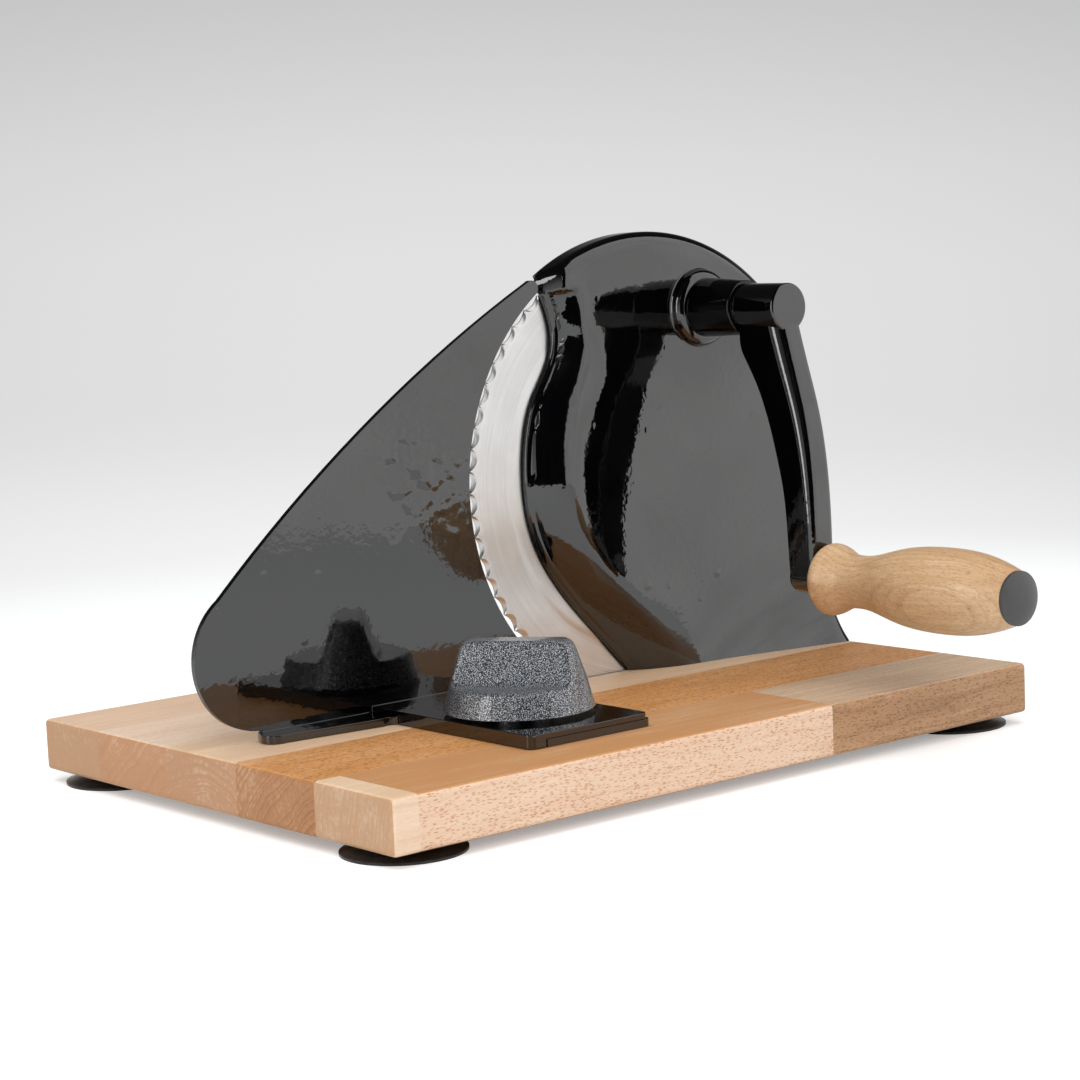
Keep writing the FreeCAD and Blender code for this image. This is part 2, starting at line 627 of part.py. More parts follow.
washer = turned("blade_washer", [
    ("3.1", AXLE_STOP), ("12", AXLE_STOP), ("12", f"{AXLE_STOP} + 1.2"), ("3.1", f"{AXLE_STOP} + 1.2")])
finish(washer, "blade_washer", "Dim.blade_x", "0", "Dim.blade_up", ALONG_BACK)

# The screw that frees the blade for cleaning has a wide head with a coin slot.
blade_screw = turned("blade_screw", [
    ("0", "5"), (THREAD, "5"), (THREAD, "16.4"), ("11", "16.4"), ("11", "19"), ("9.5", "20.4"),
    ("0", "20.4")])
pocket(blade_screw, "coin_slot", "XY_Plane", "1.6", offset="20.4",
       corners=[("-9.6", "-1"), ("9.6", "-1"), ("9.6", "1"), ("-9.6", "1")])
finish(blade_screw, "blade_screw", "Dim.blade_x", "0", "Dim.blade_up", ALONG_BACK)

# ---------------------------------------------------------------- crank: bush, shaft, pinion, arm

HUB_CAP = 3           # thickness of metal in front of the shaft's end
bush = turned("crank_bush", [
    ("Dim.shaft_radius + 0.05", "Dim.boss_end + 0.3"), (BUSH_RADIUS, "Dim.boss_end + 0.3"),
    (BUSH_RADIUS, "0.8"), ("Dim.shaft_radius + 0.05", "0.8")])
finish(bush, "crank_bush", CRANK_X, "0", CRANK_UP, ALONG_BACK)

SHAFT_STOP = "(Dim.blade_front - 0.4)"
shaft = turned("crank_shaft", [
    ("0", f"Dim.hub_end + {HUB_CAP}"), ("Dim.shaft_radius", f"Dim.hub_end + {HUB_CAP}"),
    ("Dim.shaft_radius", SHAFT_STOP), ("0", SHAFT_STOP)])
finish(shaft, "crank_shaft", CRANK_X, "0", CRANK_UP, ALONG_BACK)

ring = turned("shaft_ring", [
    ("Dim.shaft_radius", "1.1"), ("9", "1.1"), ("9", "2.4"), ("Dim.shaft_radius", "2.4")])
finish(ring, "shaft_ring", CRANK_X, "0", CRANK_UP, ALONG_BACK)

pinion_start = number("Dim.blade_front - Dim.gear_thick") - 0.6
pinion_thick = number(SHAFT_STOP) - pinion_start
pinion = make_gear(pinion_teeth, number("Dim.shaft_radius"), pinion_thick, 0, line_angle + math.pi)
finish(feature("drive_pinion", pinion), "drive_pinion", CRANK_X, str(pinion_start), CRANK_UP,
       ALONG_BACK)

thrust = turned("thrust_washer", [
    ("Dim.shaft_radius", "Dim.boss_end - 0.8"), ("9.6", "Dim.boss_end - 0.8"),
    ("9.6", "Dim.boss_end - 0.2"), ("Dim.shaft_radius", "Dim.boss_end - 0.2")])
finish(thrust, "thrust_washer", CRANK_X, "0", CRANK_UP, ALONG_BACK)

# The arm hangs from its hub, bows away from the housing and ends in an eye for the grip's spindle.
# Each pair is (below the crank axis, Y) from the hub to the eye.
ARM_OUTSIDE = [(0, -58), (11, -61), (28, -66), (43, -70.4), (73, -75.3), (100, -76.4)]
ARM_INSIDE = [(0, -35.2), (12, -35), (17.6, -35.6), (23, -38.3), (33, -44.3), (44, -49.2), (54, -52.6),
              (65, -55.6), (75, -58), (85, -59.6), (96, -60.5)]
ARM_SUNK = 0.7        # the arm's end lies this far inside the eye's faces
SHOULDER_TOP = 6.5    # rounding of its outer left edge beside the hub
SHOULDER_LOW = 3      # and beside the eye
ARM_ROUND = 3         # rounding of its outer right edge
ARM_BACK_ROUND = 1    # rounding of the two edges that face the housing
EYE_BACK = -61
RIVET_HEAD = 0.8      # the spindle's riveted head stands this far behind the eye
HUB_OUTSIDE = 10.6
HUB_ROUND = 1.2
EYE_ROUND = 1.5
HUB_NECK = "(Dim.boss_end - 0.9)"
SET_SCREW_RADIUS = 2.5
SPINDLE_SEAT = 4
SET_SCREW_Y = -47


def make_arm():
    """The arm in a frame whose origin is on the crank axis at the board's centre line."""
    wide = number("Dim.arm_wide")
    reach = number("Dim.crank_radius")
    front = number("Dim.arm_front")
    neck = number(HUB_NECK)
    end = number("Dim.hub_end")
    bore = number("Dim.shaft_radius")

    def side(pairs):
        curve = Part.BSplineCurve()
        curve.interpolate([Vector(-wide / 2, y, -down) for down, y in pairs])
        return curve.toShape()

    low_down = reach - 1
    low_front = front + ARM_SUNK
    low_back = EYE_BACK - ARM_SUNK
    outside = side(ARM_OUTSIDE + [(low_down, low_front)])
    inside = side(ARM_INSIDE + [(low_down, low_back)])
    top = Part.makeLine(Vector(-wide / 2, ARM_OUTSIDE[0][1], 0), Vector(-wide / 2, ARM_INSIDE[0][1], 0))
    low = Part.makeLine(Vector(-wide / 2, low_front, -low_down), Vector(-wide / 2, low_back, -low_down))
    profile = Part.Face(Part.Wire([top, outside, low, inside]))
    blade_of_arm = profile.extrude(Vector(wide, 0, 0))

    def long_edge(right, outer):
        return [edge for edge in blade_of_arm.Edges
                if edge.BoundBox.ZLength > reach / 2
                and (edge.BoundBox.Center.x > 0) == right
                and (edge.BoundBox.YMin < low_front + ARM_ROUND) == outer]

    shoulder = long_edge(False, True)
    top_first = shoulder[0].Vertexes[0].Z > shoulder[0].Vertexes[-1].Z
    radii = (SHOULDER_TOP, SHOULDER_LOW) if top_first else (SHOULDER_LOW, SHOULDER_TOP)
    blade_of_arm = blade_of_arm.makeFillet(*radii, shoulder)
    blade_of_arm = blade_of_arm.makeFillet(ARM_ROUND, long_edge(True, True))
    blade_of_arm = blade_of_arm.makeFillet(ARM_BACK_ROUND, long_edge(False, False) + long_edge(True, False))

    forward = Vector(0, -1, 0)
    hub_body = Part.makeCylinder(HUB_OUTSIDE, neck - end, Vector(0, neck, 0), forward)
    hub_body = hub_body.makeFillet(HUB_ROUND, [edge for edge in hub_body.Edges
                                               if edge.BoundBox.YLength < 0.01])
    eye = Part.makeCylinder(wide / 2, EYE_BACK - front, Vector(0, EYE_BACK, -reach), forward)
    eye = eye.makeFillet(EYE_ROUND, [edge for edge in eye.Edges if edge.BoundBox.YLength < 0.01])
    arm = hub_body.multiFuse([blade_of_arm, eye])
    arm = arm.cut(Part.makeCylinder(bore, neck - end - HUB_CAP, Vector(0, neck, 0), forward))
    arm = arm.cut(Part.makeCylinder(SPINDLE_SEAT, DEEP, Vector(0, EYE_BACK + HUB_CAP, -reach), forward))
    arm = arm.cut(Part.makeCylinder(SET_SCREW_RADIUS, DEEP, Vector(0, SET_SCREW_Y, 0), Vector(1, 0, 0)))
    return arm.removeSplitter()


finish(feature("crank_arm", make_arm()), "crank_arm", CRANK_X, "0", CRANK_UP)

set_screw = turned("arm_set_screw", [
    ("0", "Dim.shaft_radius"), (str(SET_SCREW_RADIUS), "Dim.shaft_radius"),
    (str(SET_SCREW_RADIUS), "10.2"), ("1.3", "10.2"),
    ("1.3", "8.2"), ("0", "8.2")])
finish(set_screw, "arm_set_screw", CRANK_X, str(SET_SCREW_Y), CRANK_UP,
       FreeCAD.Rotation(Vector(0, 1, 0), 90))

# ---------------------------------------------------------------- grip on its spindle

NUT_SEAT = "173"      # distances along the grip, measured from the board's centre line
NUT_STOP = "178.5"
POCKET_RADIUS = "8"

spindle = turned("grip_spindle", [
    ("0", f"{-EYE_BACK - RIVET_HEAD}"), ("5.2", f"{-EYE_BACK - RIVET_HEAD}"),
    ("5.2", f"{-EYE_BACK}"), (str(SPINDLE_SEAT), f"{-EYE_BACK}"),
    (str(SPINDLE_SEAT), "-Dim.arm_front"), ("5.5", "-Dim.arm_front"), ("5.5", NUT_SEAT),
    ("3", NUT_SEAT), ("3", "179.5"), ("0", "179.5")])
finish(spindle, "grip_spindle", CRANK_X, "0", GRIP_UP, ALONG_FRONT)

nut = turned("spindle_nut", [("3", NUT_SEAT), ("6.6", NUT_SEAT), ("6.6", NUT_STOP), ("3", NUT_STOP)])
finish(nut, "spindle_nut", CRANK_X, "0", GRIP_UP, ALONG_FRONT)

# Half section of the wood: (distance from the nose, radius), nose to far end.
GRIP_CURVE = [(0, 11.5), (0.9, 14), (3, 15.6), (5.5, 15.5), (9, 14.2), (14, 12.1), (19, 11.5),
              (25, 11.7), (33.5, 13.3), (43, 15.7), (53, 17.4), (64, 18.1), (76, 18),
              (87, 16.8), (96.5, 14.5), (105.6, 11.3)]


def make_grip():
    """The turned wood, from its nose at z = 0 along +Z."""
    long = number("Dim.grip_start - Dim.grip_end")
    curve = Part.BSplineCurve()
    curve.interpolate([Vector(radius, 0, along) for along, radius in GRIP_CURVE[:-1]]
                      + [Vector(GRIP_CURVE[-1][1], 0, long)])
    bottom = Part.makeLine(Vector(0, 0, 0), Vector(GRIP_CURVE[0][1], 0, 0))
    top = Part.makeLine(Vector(GRIP_CURVE[-1][1], 0, long), Vector(0, 0, long))
    middle = Part.makeLine(Vector(0, 0, long), Vector(0, 0, 0))
    section = Part.Face(Part.Wire([bottom, curve.toShape(), top, middle]))
    wood = section.revolve(Vector(), Vector(0, 0, 1), 360)
    wood = wood.cut(Part.makeCylinder(5.56, long))
    depth = number(f"-Dim.grip_end - {NUT_SEAT} + 0.5")
    return wood.cut(Part.makeCylinder(float(POCKET_RADIUS), depth, Vector(0, 0, long - depth)))


finish(feature("grip_wood", make_grip()), "grip_wood", CRANK_X, "Dim.grip_start", GRIP_UP, ALONG_FRONT)

# Domed end cap: z = 0 is the end of the wood, the dome rises along +Z, the stub goes down.
CAP_RADIUS = str(GRIP_CURVE[-1][1])
CAP_HIGH = "(Dim.grip_end - Dim.grip_reach)"
grip_cap = turned("grip_cap", [
    ("0", "-3.2"), (POCKET_RADIUS, "-3.2"), (POCKET_RADIUS, "0"), (CAP_RADIUS, "0"),
    (CAP_RADIUS, f"{CAP_HIGH} - 2.6", (f"{CAP_RADIUS} - 4.4", f"{CAP_HIGH} - 0.82")),
    ("1", CAP_HIGH), ("0", CAP_HIGH)])
finish(grip_cap, "grip_cap", CRANK_X, "Dim.grip_end", GRIP_UP, ALONG_FRONT)

# ---------------------------------------------------------------- fence, guide plate and clamp

GUIDE_TOP = "Dim.guide_thick"
FOOT_BOTTOM = "(Dim.guide_thick + Dim.slide_play)"
FOOT_TOP = f"({FOOT_BOTTOM} + Dim.foot_thick)"
FOOT_CORNER = 3.5     # rounding of the foot's and the guide plate's corners in plan
CORNER_MIDDLE = round(FOOT_CORNER * (1 - math.sqrt(0.5)), 3)
SKIRT_INSIDE = "-80"
TONGUE_HALF = "12"
TONGUE_WIDE = "5.8"
FLOAT = "0.3"         # the casting's underside is this far above the board
FENCE_BACK = "(Dim.fence_front + Dim.fence_thick)"
FENCE_CURVE = "(Dim.blade_radius + Dim.fence_gap)"


def arc_x(height):
    """X of the fence's hollow edge, concentric with the blade, at a height above the board."""
    return f"(Dim.blade_x - sqrt({FENCE_CURVE} ^ 2 - (Dim.blade_up - {height}) ^ 2))"


guide = new_body("guide_plate")
pad(guide, "guide_slab", "XY_Plane",
    [("Dim.guide_left", "Dim.foot_front"),
     (f"Dim.guide_right - {FOOT_CORNER}", "Dim.foot_front",
      (f"Dim.guide_right - {CORNER_MIDDLE}", f"Dim.foot_front + {CORNER_MIDDLE}")),
     ("Dim.guide_right", f"Dim.foot_front + {FOOT_CORNER}"),
     ("Dim.guide_right", "Dim.guide_back"), ("Dim.guide_left", "Dim.guide_back")], GUIDE_TOP)
pad(guide, "guide_tongue", "XY_Plane",
    [(f"Dim.knob_x - {TONGUE_WIDE}", f"Dim.knob_y - {TONGUE_HALF}"),
     (f"Dim.knob_x + {TONGUE_WIDE}", f"Dim.knob_y - {TONGUE_HALF}"),
     (f"Dim.knob_x + {TONGUE_WIDE}", f"Dim.knob_y + {TONGUE_HALF}"),
     (f"Dim.knob_x - {TONGUE_WIDE}", f"Dim.knob_y + {TONGUE_HALF}")], f"{FOOT_TOP} - 0.3")
pocket(guide, "guide_stud_hole", "XY_Plane", "20", centres=[("Dim.knob_x", "Dim.knob_y")],
       radius="Dim.stud_radius", offset="10")
pocket(guide, "guide_screw_holes", "XY_Plane", "20", centres=GUIDE_SCREWS,
       radius=GUIDE_SCREW_RADIUS, offset="10")
pocket(guide, "guide_screw_sinks", "XY_Plane", "12.0 - Dim.guide_thick", centres=GUIDE_SCREWS,
       radius=GUIDE_SCREW_HEAD, offset="10")
finish(guide, "guide_plate")

guide_screw = turned("guide_screw_pattern", [
    ("0", "-(12.6 - Dim.guide_thick)"), (GUIDE_SCREW_RADIUS, "-(11.6 - Dim.guide_thick)"),
    (GUIDE_SCREW_RADIUS, "10 - 12.0 + Dim.guide_thick"),
    (GUIDE_SCREW_HEAD, "10 - 12.0 + Dim.guide_thick"), (GUIDE_SCREW_HEAD, "Dim.guide_thick - 0.2"),
    ("0", "Dim.guide_thick - 0.2")])
finish(group("guide_screws", guide_screw, [(x, y, "0") for x, y in GUIDE_SCREWS]), "guide_screws")

fence = new_body("thickness_fence")
pad(fence, "fence_plate", "XZ_Plane", [
    ("6.2", "177", ("-75", "128.6")), ("-160", "59.3", ("-173", "36")),
    ("-161", "10.3", ("-153", "6.2")), ("-143", "4.2"), ("-143", FLOAT),
    (arc_x("0.3"), FLOAT, ("Dim.blade_x - Dim.blade_radius - Dim.fence_gap", "Dim.blade_up")),
    (arc_x("172.2"), "172.2", ("11.4", "176.2"))],
    "Dim.fence_thick", offset=f"-{FENCE_BACK}")
pad(fence, "fence_flange", "XY_Plane", [
    ("-143.5", FENCE_BACK), ("-146", "1.5", ("-145.8", "-4.8")), ("-139.5", "-7"),
    ("-94", "-11.4", ("-88.4", "-12.4")), ("Dim.foot_left", "-18"), ("-84", "-18"),
    ("-84", FENCE_BACK)],
    "3.2", offset=FLOAT)
LEFT_CORNER = [
    ("Dim.foot_left", f"Dim.foot_front + {FOOT_CORNER}",
     (f"Dim.foot_left + {CORNER_MIDDLE}", f"Dim.foot_front + {CORNER_MIDDLE}")),
    (f"Dim.foot_left + {FOOT_CORNER}", "Dim.foot_front")]
pad(fence, "fence_foot", "XY_Plane", LEFT_CORNER + [
    (f"Dim.foot_right - {FOOT_CORNER}", "Dim.foot_front",
     (f"Dim.foot_right - {CORNER_MIDDLE}", f"Dim.foot_front + {CORNER_MIDDLE}")),
    ("Dim.foot_right", f"Dim.foot_front + {FOOT_CORNER}"), ("Dim.foot_right", FENCE_BACK),
    ("Dim.foot_left", FENCE_BACK)],
    "Dim.foot_thick", offset=FOOT_BOTTOM)
pad(fence, "fence_skirt", "XY_Plane", LEFT_CORNER + [
    (SKIRT_INSIDE, "Dim.foot_front"), (SKIRT_INSIDE, "0"), ("Dim.foot_left", "0")],
    f"{FOOT_TOP} - {FLOAT}", offset=FLOAT)
doc.recompute()
slot_front = f"Dim.knob_y - {TONGUE_HALF} - 0.3"
slot_back = f"Dim.knob_y + {TONGUE_HALF} + Dim.fence_travel + 0.3"
slot_side = f"{TONGUE_WIDE} + 0.25"
pocket(fence, "fence_slot", "XY_Plane", "20", offset="15", corners=[
    (f"Dim.knob_x - ({slot_side})", slot_front), (f"Dim.knob_x + ({slot_side})", slot_front),
    (f"Dim.knob_x + ({slot_side})", slot_back), (f"Dim.knob_x - ({slot_side})", slot_back)])
finish(fence, "thickness_fence")

STUD_TOP = "(Dim.knob_height - 3)"
stud = turned("clamp_stud", [
    ("0", "-Dim.board_thick"), (STUD_HEAD_RADIUS, "-Dim.board_thick"),
    (STUD_HEAD_RADIUS, f"-Dim.board_thick + {STUD_HEAD_THICK}"),
    ("Dim.stud_radius", f"-Dim.board_thick + {STUD_HEAD_THICK}"),
    ("Dim.stud_radius", STUD_TOP), ("0", STUD_TOP)])
finish(stud, "clamp_stud", "Dim.knob_x", "Dim.knob_y")

WASHER_BOTTOM = f"({FOOT_TOP} + 0.1)"
WASHER_TOP = f"({WASHER_BOTTOM} + 1.5)"
clamp_washer = turned("clamp_washer", [
    ("Dim.stud_radius", WASHER_BOTTOM), ("13", WASHER_BOTTOM), ("13", WASHER_TOP),
    ("Dim.stud_radius", WASHER_TOP)])
finish(clamp_washer, "clamp_washer", "Dim.knob_x", "Dim.knob_y")

# The knob stands on the washer: a cone cut away in front and behind, which leaves a wing across it.
KNOB_BOTTOM = f"({WASHER_TOP} + 0.1)"
INSERT_RADIUS = "7"
INSERT_HIGH = "12"
KNOB_TOP_RADIUS = 20.8
SKIRT_HIGH = 10.4     # the round base below the wing
WING_HALF_LOW = 13.5  # half the distance between the wing's broad sides at the knob's underside
WING_HALF_TOP = 8.4   # and at its top
WING_HOLLOW = 3.2     # hollow rounding between the wing and the base
WING_END_ROUND = 5    # rounding of the wing's ends at the top
KNOB_ROUND = 2.2      # rounding of all its other outer edges


def make_knob():
    """The knob from its underside at z = 0, its wing along X."""
    radius = number("Dim.knob_radius")
    height = number("Dim.knob_height")
    beyond = radius + 1
    lean = (WING_HALF_LOW - WING_HALF_TOP) / height
    foot = WING_HALF_LOW - lean * SKIRT_HIGH
    bow = WING_HOLLOW * (1 - math.sqrt(0.5))

    def at(y, z):
        return Vector(-beyond, y, z)

    def lines(*points):
        return [Part.makeLine(points[i], points[i + 1]) for i in range(len(points) - 1)]

    def hollow(side):
        return Part.Arc(at(side * (foot + WING_HOLLOW), SKIRT_HIGH), at(side * (foot + bow), SKIRT_HIGH + bow),
                        at(side * (foot - lean * WING_HOLLOW), SKIRT_HIGH + WING_HOLLOW)).toShape()

    front, back = hollow(-1), hollow(1)
    tip = WING_HALF_TOP - lean
    section = (lines(back.Vertexes[0].Point, at(beyond, SKIRT_HIGH), at(beyond, -1), at(-beyond, -1),
                     at(-beyond, SKIRT_HIGH), front.Vertexes[0].Point) + [front]
               + lines(front.Vertexes[1].Point, at(-tip, height + 1), at(tip, height + 1),
                       back.Vertexes[1].Point) + [back])
    room = Part.Face(Part.Wire(Part.sortEdges(section)[0])).extrude(Vector(2 * beyond, 0, 0))
    cone = Part.makeCone(radius, KNOB_TOP_RADIUS, height)
    cone.rotate(Vector(), Vector(0, 0, 1), 90)
    body = cone.common(room)
    body = body.makeFillet(WING_END_ROUND, [edge for edge in body.Edges
                                            if edge.BoundBox.ZMin > height - 0.1
                                            and edge.BoundBox.YLength > WING_HALF_TOP
                                            and edge.BoundBox.XLength < WING_HALF_TOP])
    outer = [edge for edge in body.Edges
             if edge.BoundBox.ZMin > SKIRT_HIGH - 0.1
             and not (edge.BoundBox.ZLength < 0.1 and edge.BoundBox.ZMin < height - 0.1
                      and (edge.BoundBox.YLength < 0.1 or edge.BoundBox.XLength < WING_HALF_TOP))
             and not (edge.BoundBox.ZMin > height - 0.1 and edge.BoundBox.YLength > 1)]
    body = body.makeFillet(KNOB_ROUND, outer)
    body = body.cut(Part.makeCylinder(float(INSERT_RADIUS), float(INSERT_HIGH)))
    return body.cut(Part.makeCylinder(number("Dim.stud_radius") + 0.4, height - 4))


knob = feature("clamp_knob", make_knob())
finish(knob, "clamp_knob", "Dim.knob_x", "Dim.knob_y", KNOB_BOTTOM,
       FreeCAD.Rotation(Vector(0, 0, 1), number("Dim.knob_turned")))

insert = turned("knob_insert", [
    ("Dim.stud_radius + 0.06", "0"), (INSERT_RADIUS, "0"), (INSERT_RADIUS, INSERT_HIGH),
    ("Dim.stud_radius + 0.06", INSERT_HIGH)])
finish(insert, "knob_insert", "Dim.knob_x", "Dim.knob_y", KNOB_BOTTOM)

# ---------------------------------------------------------------- checks and files

doc.recompute()
for item in doc.Objects:
    if any(word in item.State for word in ("Invalid", "Error")):
        raise RuntimeError(f"{item.Name} failed: {item.State}")
for piece in nodes:
    shape = piece.Shape
    if shape.isNull() or not shape.isValid() or not shape.Solids:
        raise RuntimeError(f"{piece.Label} has no valid solid")

os.makedirs("parts", exist_ok=True)
for piece in nodes:
    piece.Shape.exportStep(f"parts/{piece.Label}.step")
print(len(nodes), "sub-parts written")
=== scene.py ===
import math

import bmesh
import bpy
import numpy as np
from mathutils import Matrix, Vector


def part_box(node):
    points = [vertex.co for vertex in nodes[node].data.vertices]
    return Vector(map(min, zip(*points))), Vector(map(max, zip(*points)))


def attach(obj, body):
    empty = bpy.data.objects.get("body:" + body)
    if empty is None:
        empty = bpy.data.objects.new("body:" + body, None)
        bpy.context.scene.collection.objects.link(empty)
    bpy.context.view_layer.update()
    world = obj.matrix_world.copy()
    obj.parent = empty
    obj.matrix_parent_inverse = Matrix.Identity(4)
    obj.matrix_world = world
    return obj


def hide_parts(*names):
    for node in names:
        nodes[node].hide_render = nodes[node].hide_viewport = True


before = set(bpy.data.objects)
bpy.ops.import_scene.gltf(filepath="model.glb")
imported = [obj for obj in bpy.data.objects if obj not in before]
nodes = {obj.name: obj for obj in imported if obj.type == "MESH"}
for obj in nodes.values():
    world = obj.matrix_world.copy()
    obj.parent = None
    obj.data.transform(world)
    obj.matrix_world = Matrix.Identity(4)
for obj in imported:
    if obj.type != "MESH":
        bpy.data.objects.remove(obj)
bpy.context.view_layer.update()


# ================================================================ BOARD
# A thick board glued up from seven pieces of beech that run along it, planed, with its edges
# broken, and oiled. It has a slot for the blade, and everything else is screwed or clamped to it.

board_low, board_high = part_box("base_board")
BOARD_TOP = np.array([(board_low.x + board_high.x) / 2, (board_low.y + board_high.y) / 2, board_high.z])


def rgb(red, green, blue):
    """A colour as read off a colour card, 0 to 255, as Blender wants it."""
    def linear(value):
        value /= 255
        return value / 12.92 if value <= 0.04045 else ((value + 0.055) / 1.055) ** 2.4
    return (linear(red), linear(green), linear(blue), 1)


def put(tree, kind, inputs=None, **settings):
    """Adds a node; its inputs are set to numbers or linked to other nodes' sockets."""
    node = tree.nodes.new(kind)
    for key, value in settings.items():
        setattr(node, key, value)
    for key, value in (inputs or {}).items():
        if isinstance(value, bpy.types.NodeSocket):
            tree.links.new(value, node.inputs[key])
        else:
            node.inputs[key].default_value = value
    return node


def calc(tree, operation, first, second=0.0, third=0.0, clamp=False):
    node = put(tree, "ShaderNodeMath", {0: first, 1: second, 2: third}, operation=operation,
               use_clamp=clamp)
    return node.outputs[0]


def vector_calc(tree, operation, first, second):
    return put(tree, "ShaderNodeVectorMath", {0: first, 1: second}, operation=operation).outputs[0]


def between(tree, value, low, high, to_low=0.0, to_high=1.0):
    """A value carried softly from one range to another."""
    return put(tree, "ShaderNodeMapRange", {"Value": value, "From Min": low, "From Max": high,
                                            "To Min": to_low, "To Max": to_high},
               interpolation_type="SMOOTHSTEP").outputs[0]


def blend(tree, amount, first, second):
    return put(tree, "ShaderNodeMix", {0: amount, 6: first, 7: second}, data_type="RGBA").outputs[2]


def noise(tree, place, scale=1.0, detail=2.0, rough=0.5, seed=0.0, out="Factor"):
    node = put(tree, "ShaderNodeTexNoise", {"Vector": place, "W": seed, "Scale": scale,
                                            "Detail": detail, "Roughness": rough},
               noise_dimensions="4D")
    return node.outputs[0 if out == "Factor" else 1]


def steps(tree, factor, stops, interpolation="CONSTANT"):
    """A colour ramp with these (place, colour) stops."""
    node = put(tree, "ShaderNodeValToRGB", {0: factor})
    ramp = node.color_ramp
    ramp.interpolation = interpolation
    while len(ramp.elements) < len(stops):
        ramp.elements.new(1.0)
    for element, (place, colour) in zip(ramp.elements, stops):
        element.position = place
    for element, (place, colour) in zip(ramp.elements, stops):
        element.color = colour
    return node.outputs[0]


def new_group(name, inputs, outputs):
    """A node group; returns its tree, its input node's sockets and its output node."""
    tree = bpy.data.node_groups.new(name, "ShaderNodeTree")
    for label, kind, value in inputs:
        socket = tree.interface.new_socket(label, in_out="INPUT", socket_type=kind)
        if value is not None:
            socket.default_value = value
    for label, kind in outputs:
        tree.interface.new_socket(label, in_out="OUTPUT", socket_type=kind)
    return tree, tree.nodes.new("NodeGroupInput").outputs, tree.nodes.new("NodeGroupOutput")


def place_group(tree, group, inputs):
    return put(tree, "ShaderNodeGroup", inputs, node_tree=group).outputs


def new_finish(name):
    """An empty material with its Principled shader; returns the material, its tree and the shader."""
    material = bpy.data.materials.new(name)
    material.use_nodes = True
    tree = material.node_tree
    return material, tree, tree.nodes["Principled BSDF"]


def place_in_mm(tree, centre=(0, 0, 0)):
    """Where a point is on its piece, in millimetres from a centre given in metres."""
    spot_on = put(tree, "ShaderNodeTexCoord").outputs["Object"]
    moved = vector_calc(tree, "SUBTRACT", spot_on, tuple(centre))
    return vector_calc(tree, "MULTIPLY", moved, (1000, 1000, 1000))


def raise_by(tree, height, metres, shader):
    """Small relief on a surface, as deep as the metres given."""
    bump = put(tree, "ShaderNodeBump", {"Height": height, "Distance": metres})
    tree.links.new(bump.outputs[0], shader.inputs["Normal"])


def dress(material, *names):
    """Gives a material to CAD nodes whose shape is already right."""
    for name in names:
        for slot in nodes[name].material_slots:
            slot.material = material


def stretched(tree, place, along, across):
    """A place made longer or shorter along the grain, X, and across it."""
    return vector_calc(tree, "MULTIPLY", place, (along, across, across))


# Beech as a solid: X runs along the grain and the pith lies on the X axis, so rings, streaks and
# the short dark ray flecks come out right on whichever face the wood is cut. Places are in mm.
RING_SWAY = 16
RINGS_PER_MM = 0.34
YEAR_CHANGES = 7
BLEACHED = (1, 0.86, 0.7, 1)
beech_group, given, result = new_group(
    "beech wood",
    [("Place", "NodeSocketVector", None), ("Seed", "NodeSocketFloat", 0.0),
     ("Wood", "NodeSocketColor", rgb(214, 176, 140)), ("Fleck", "NodeSocketColor", rgb(165, 105, 60)),
     ("Flecks", "NodeSocketFloat", 0.6), ("Lines", "NodeSocketFloat", 0.4),
     ("End", "NodeSocketFloat", 0.0)],
    [("Color", "NodeSocketColor"), ("Height", "NodeSocketFloat"), ("Dull", "NodeSocketFloat")])
t = beech_group
sway = noise(t, stretched(t, given["Place"], 0.009, 0.03), 1, 2, 0.5, given["Seed"], "Color")
sway = stretched(t, vector_calc(t, "SUBTRACT", sway, (0.5, 0.5, 0.5)), 0, RING_SWAY)
grown = vector_calc(t, "ADD", given["Place"], sway)
axes = put(t, "ShaderNodeSeparateXYZ", {0: grown}).outputs
radius = calc(t, "SQRT", calc(t, "ADD", calc(t, "MULTIPLY", axes[1], axes[1]),
                              calc(t, "MULTIPLY", axes[2], axes[2])))
years = noise(t, put(t, "ShaderNodeCombineXYZ", {0: calc(t, "MULTIPLY", radius, 0.11)}).outputs[0],
              1, 1, 0.5, given["Seed"])
ring = calc(t, "FRACT", calc(t, "ADD", calc(t, "MULTIPLY", radius, RINGS_PER_MM),
                             calc(t, "MULTIPLY", years, YEAR_CHANGES)))
late = calc(t, "POWER", ring, 3.0)
streak = noise(t, stretched(t, grown, 0.012, 0.55), 1, 4, 0.6, given["Seed"])
cloud = noise(t, stretched(t, given["Place"], 0.012, 0.05), 1, 2, 0.5, given["Seed"])
fleck_cells = put(t, "ShaderNodeTexVoronoi", {"Vector": stretched(t, given["Place"], 0.40, 1.5),
                                              "Scale": 1.0, "Randomness": 1.0})
kept_cells = put(t, "ShaderNodeSeparateColor", {0: fleck_cells.outputs["Color"]}).outputs
size = calc(t, "MULTIPLY_ADD", kept_cells[0], 0.30, 0.24)
fleck = between(t, calc(t, "DIVIDE", fleck_cells.outputs["Distance"], size), 1.15, 0.55)
fleck = calc(t, "MULTIPLY", fleck, calc(t, "MULTIPLY_ADD", kept_cells[1], 0.7, 0.3))
fleck = calc(t, "MULTIPLY", fleck, calc(t, "SUBTRACT", 1.0, calc(t, "MULTIPLY", given["End"], 0.85)))
fleck = calc(t, "MULTIPLY", fleck, given["Flecks"])
pores = noise(t, stretched(t, given["Place"], 0.25, 4), 1, 2, 0.6, given["Seed"])
lines = calc(t, "MULTIPLY", late, given["Lines"])
lines = calc(t, "MULTIPLY", lines, calc(t, "MULTIPLY_ADD", given["End"], 1.7, 0.5))
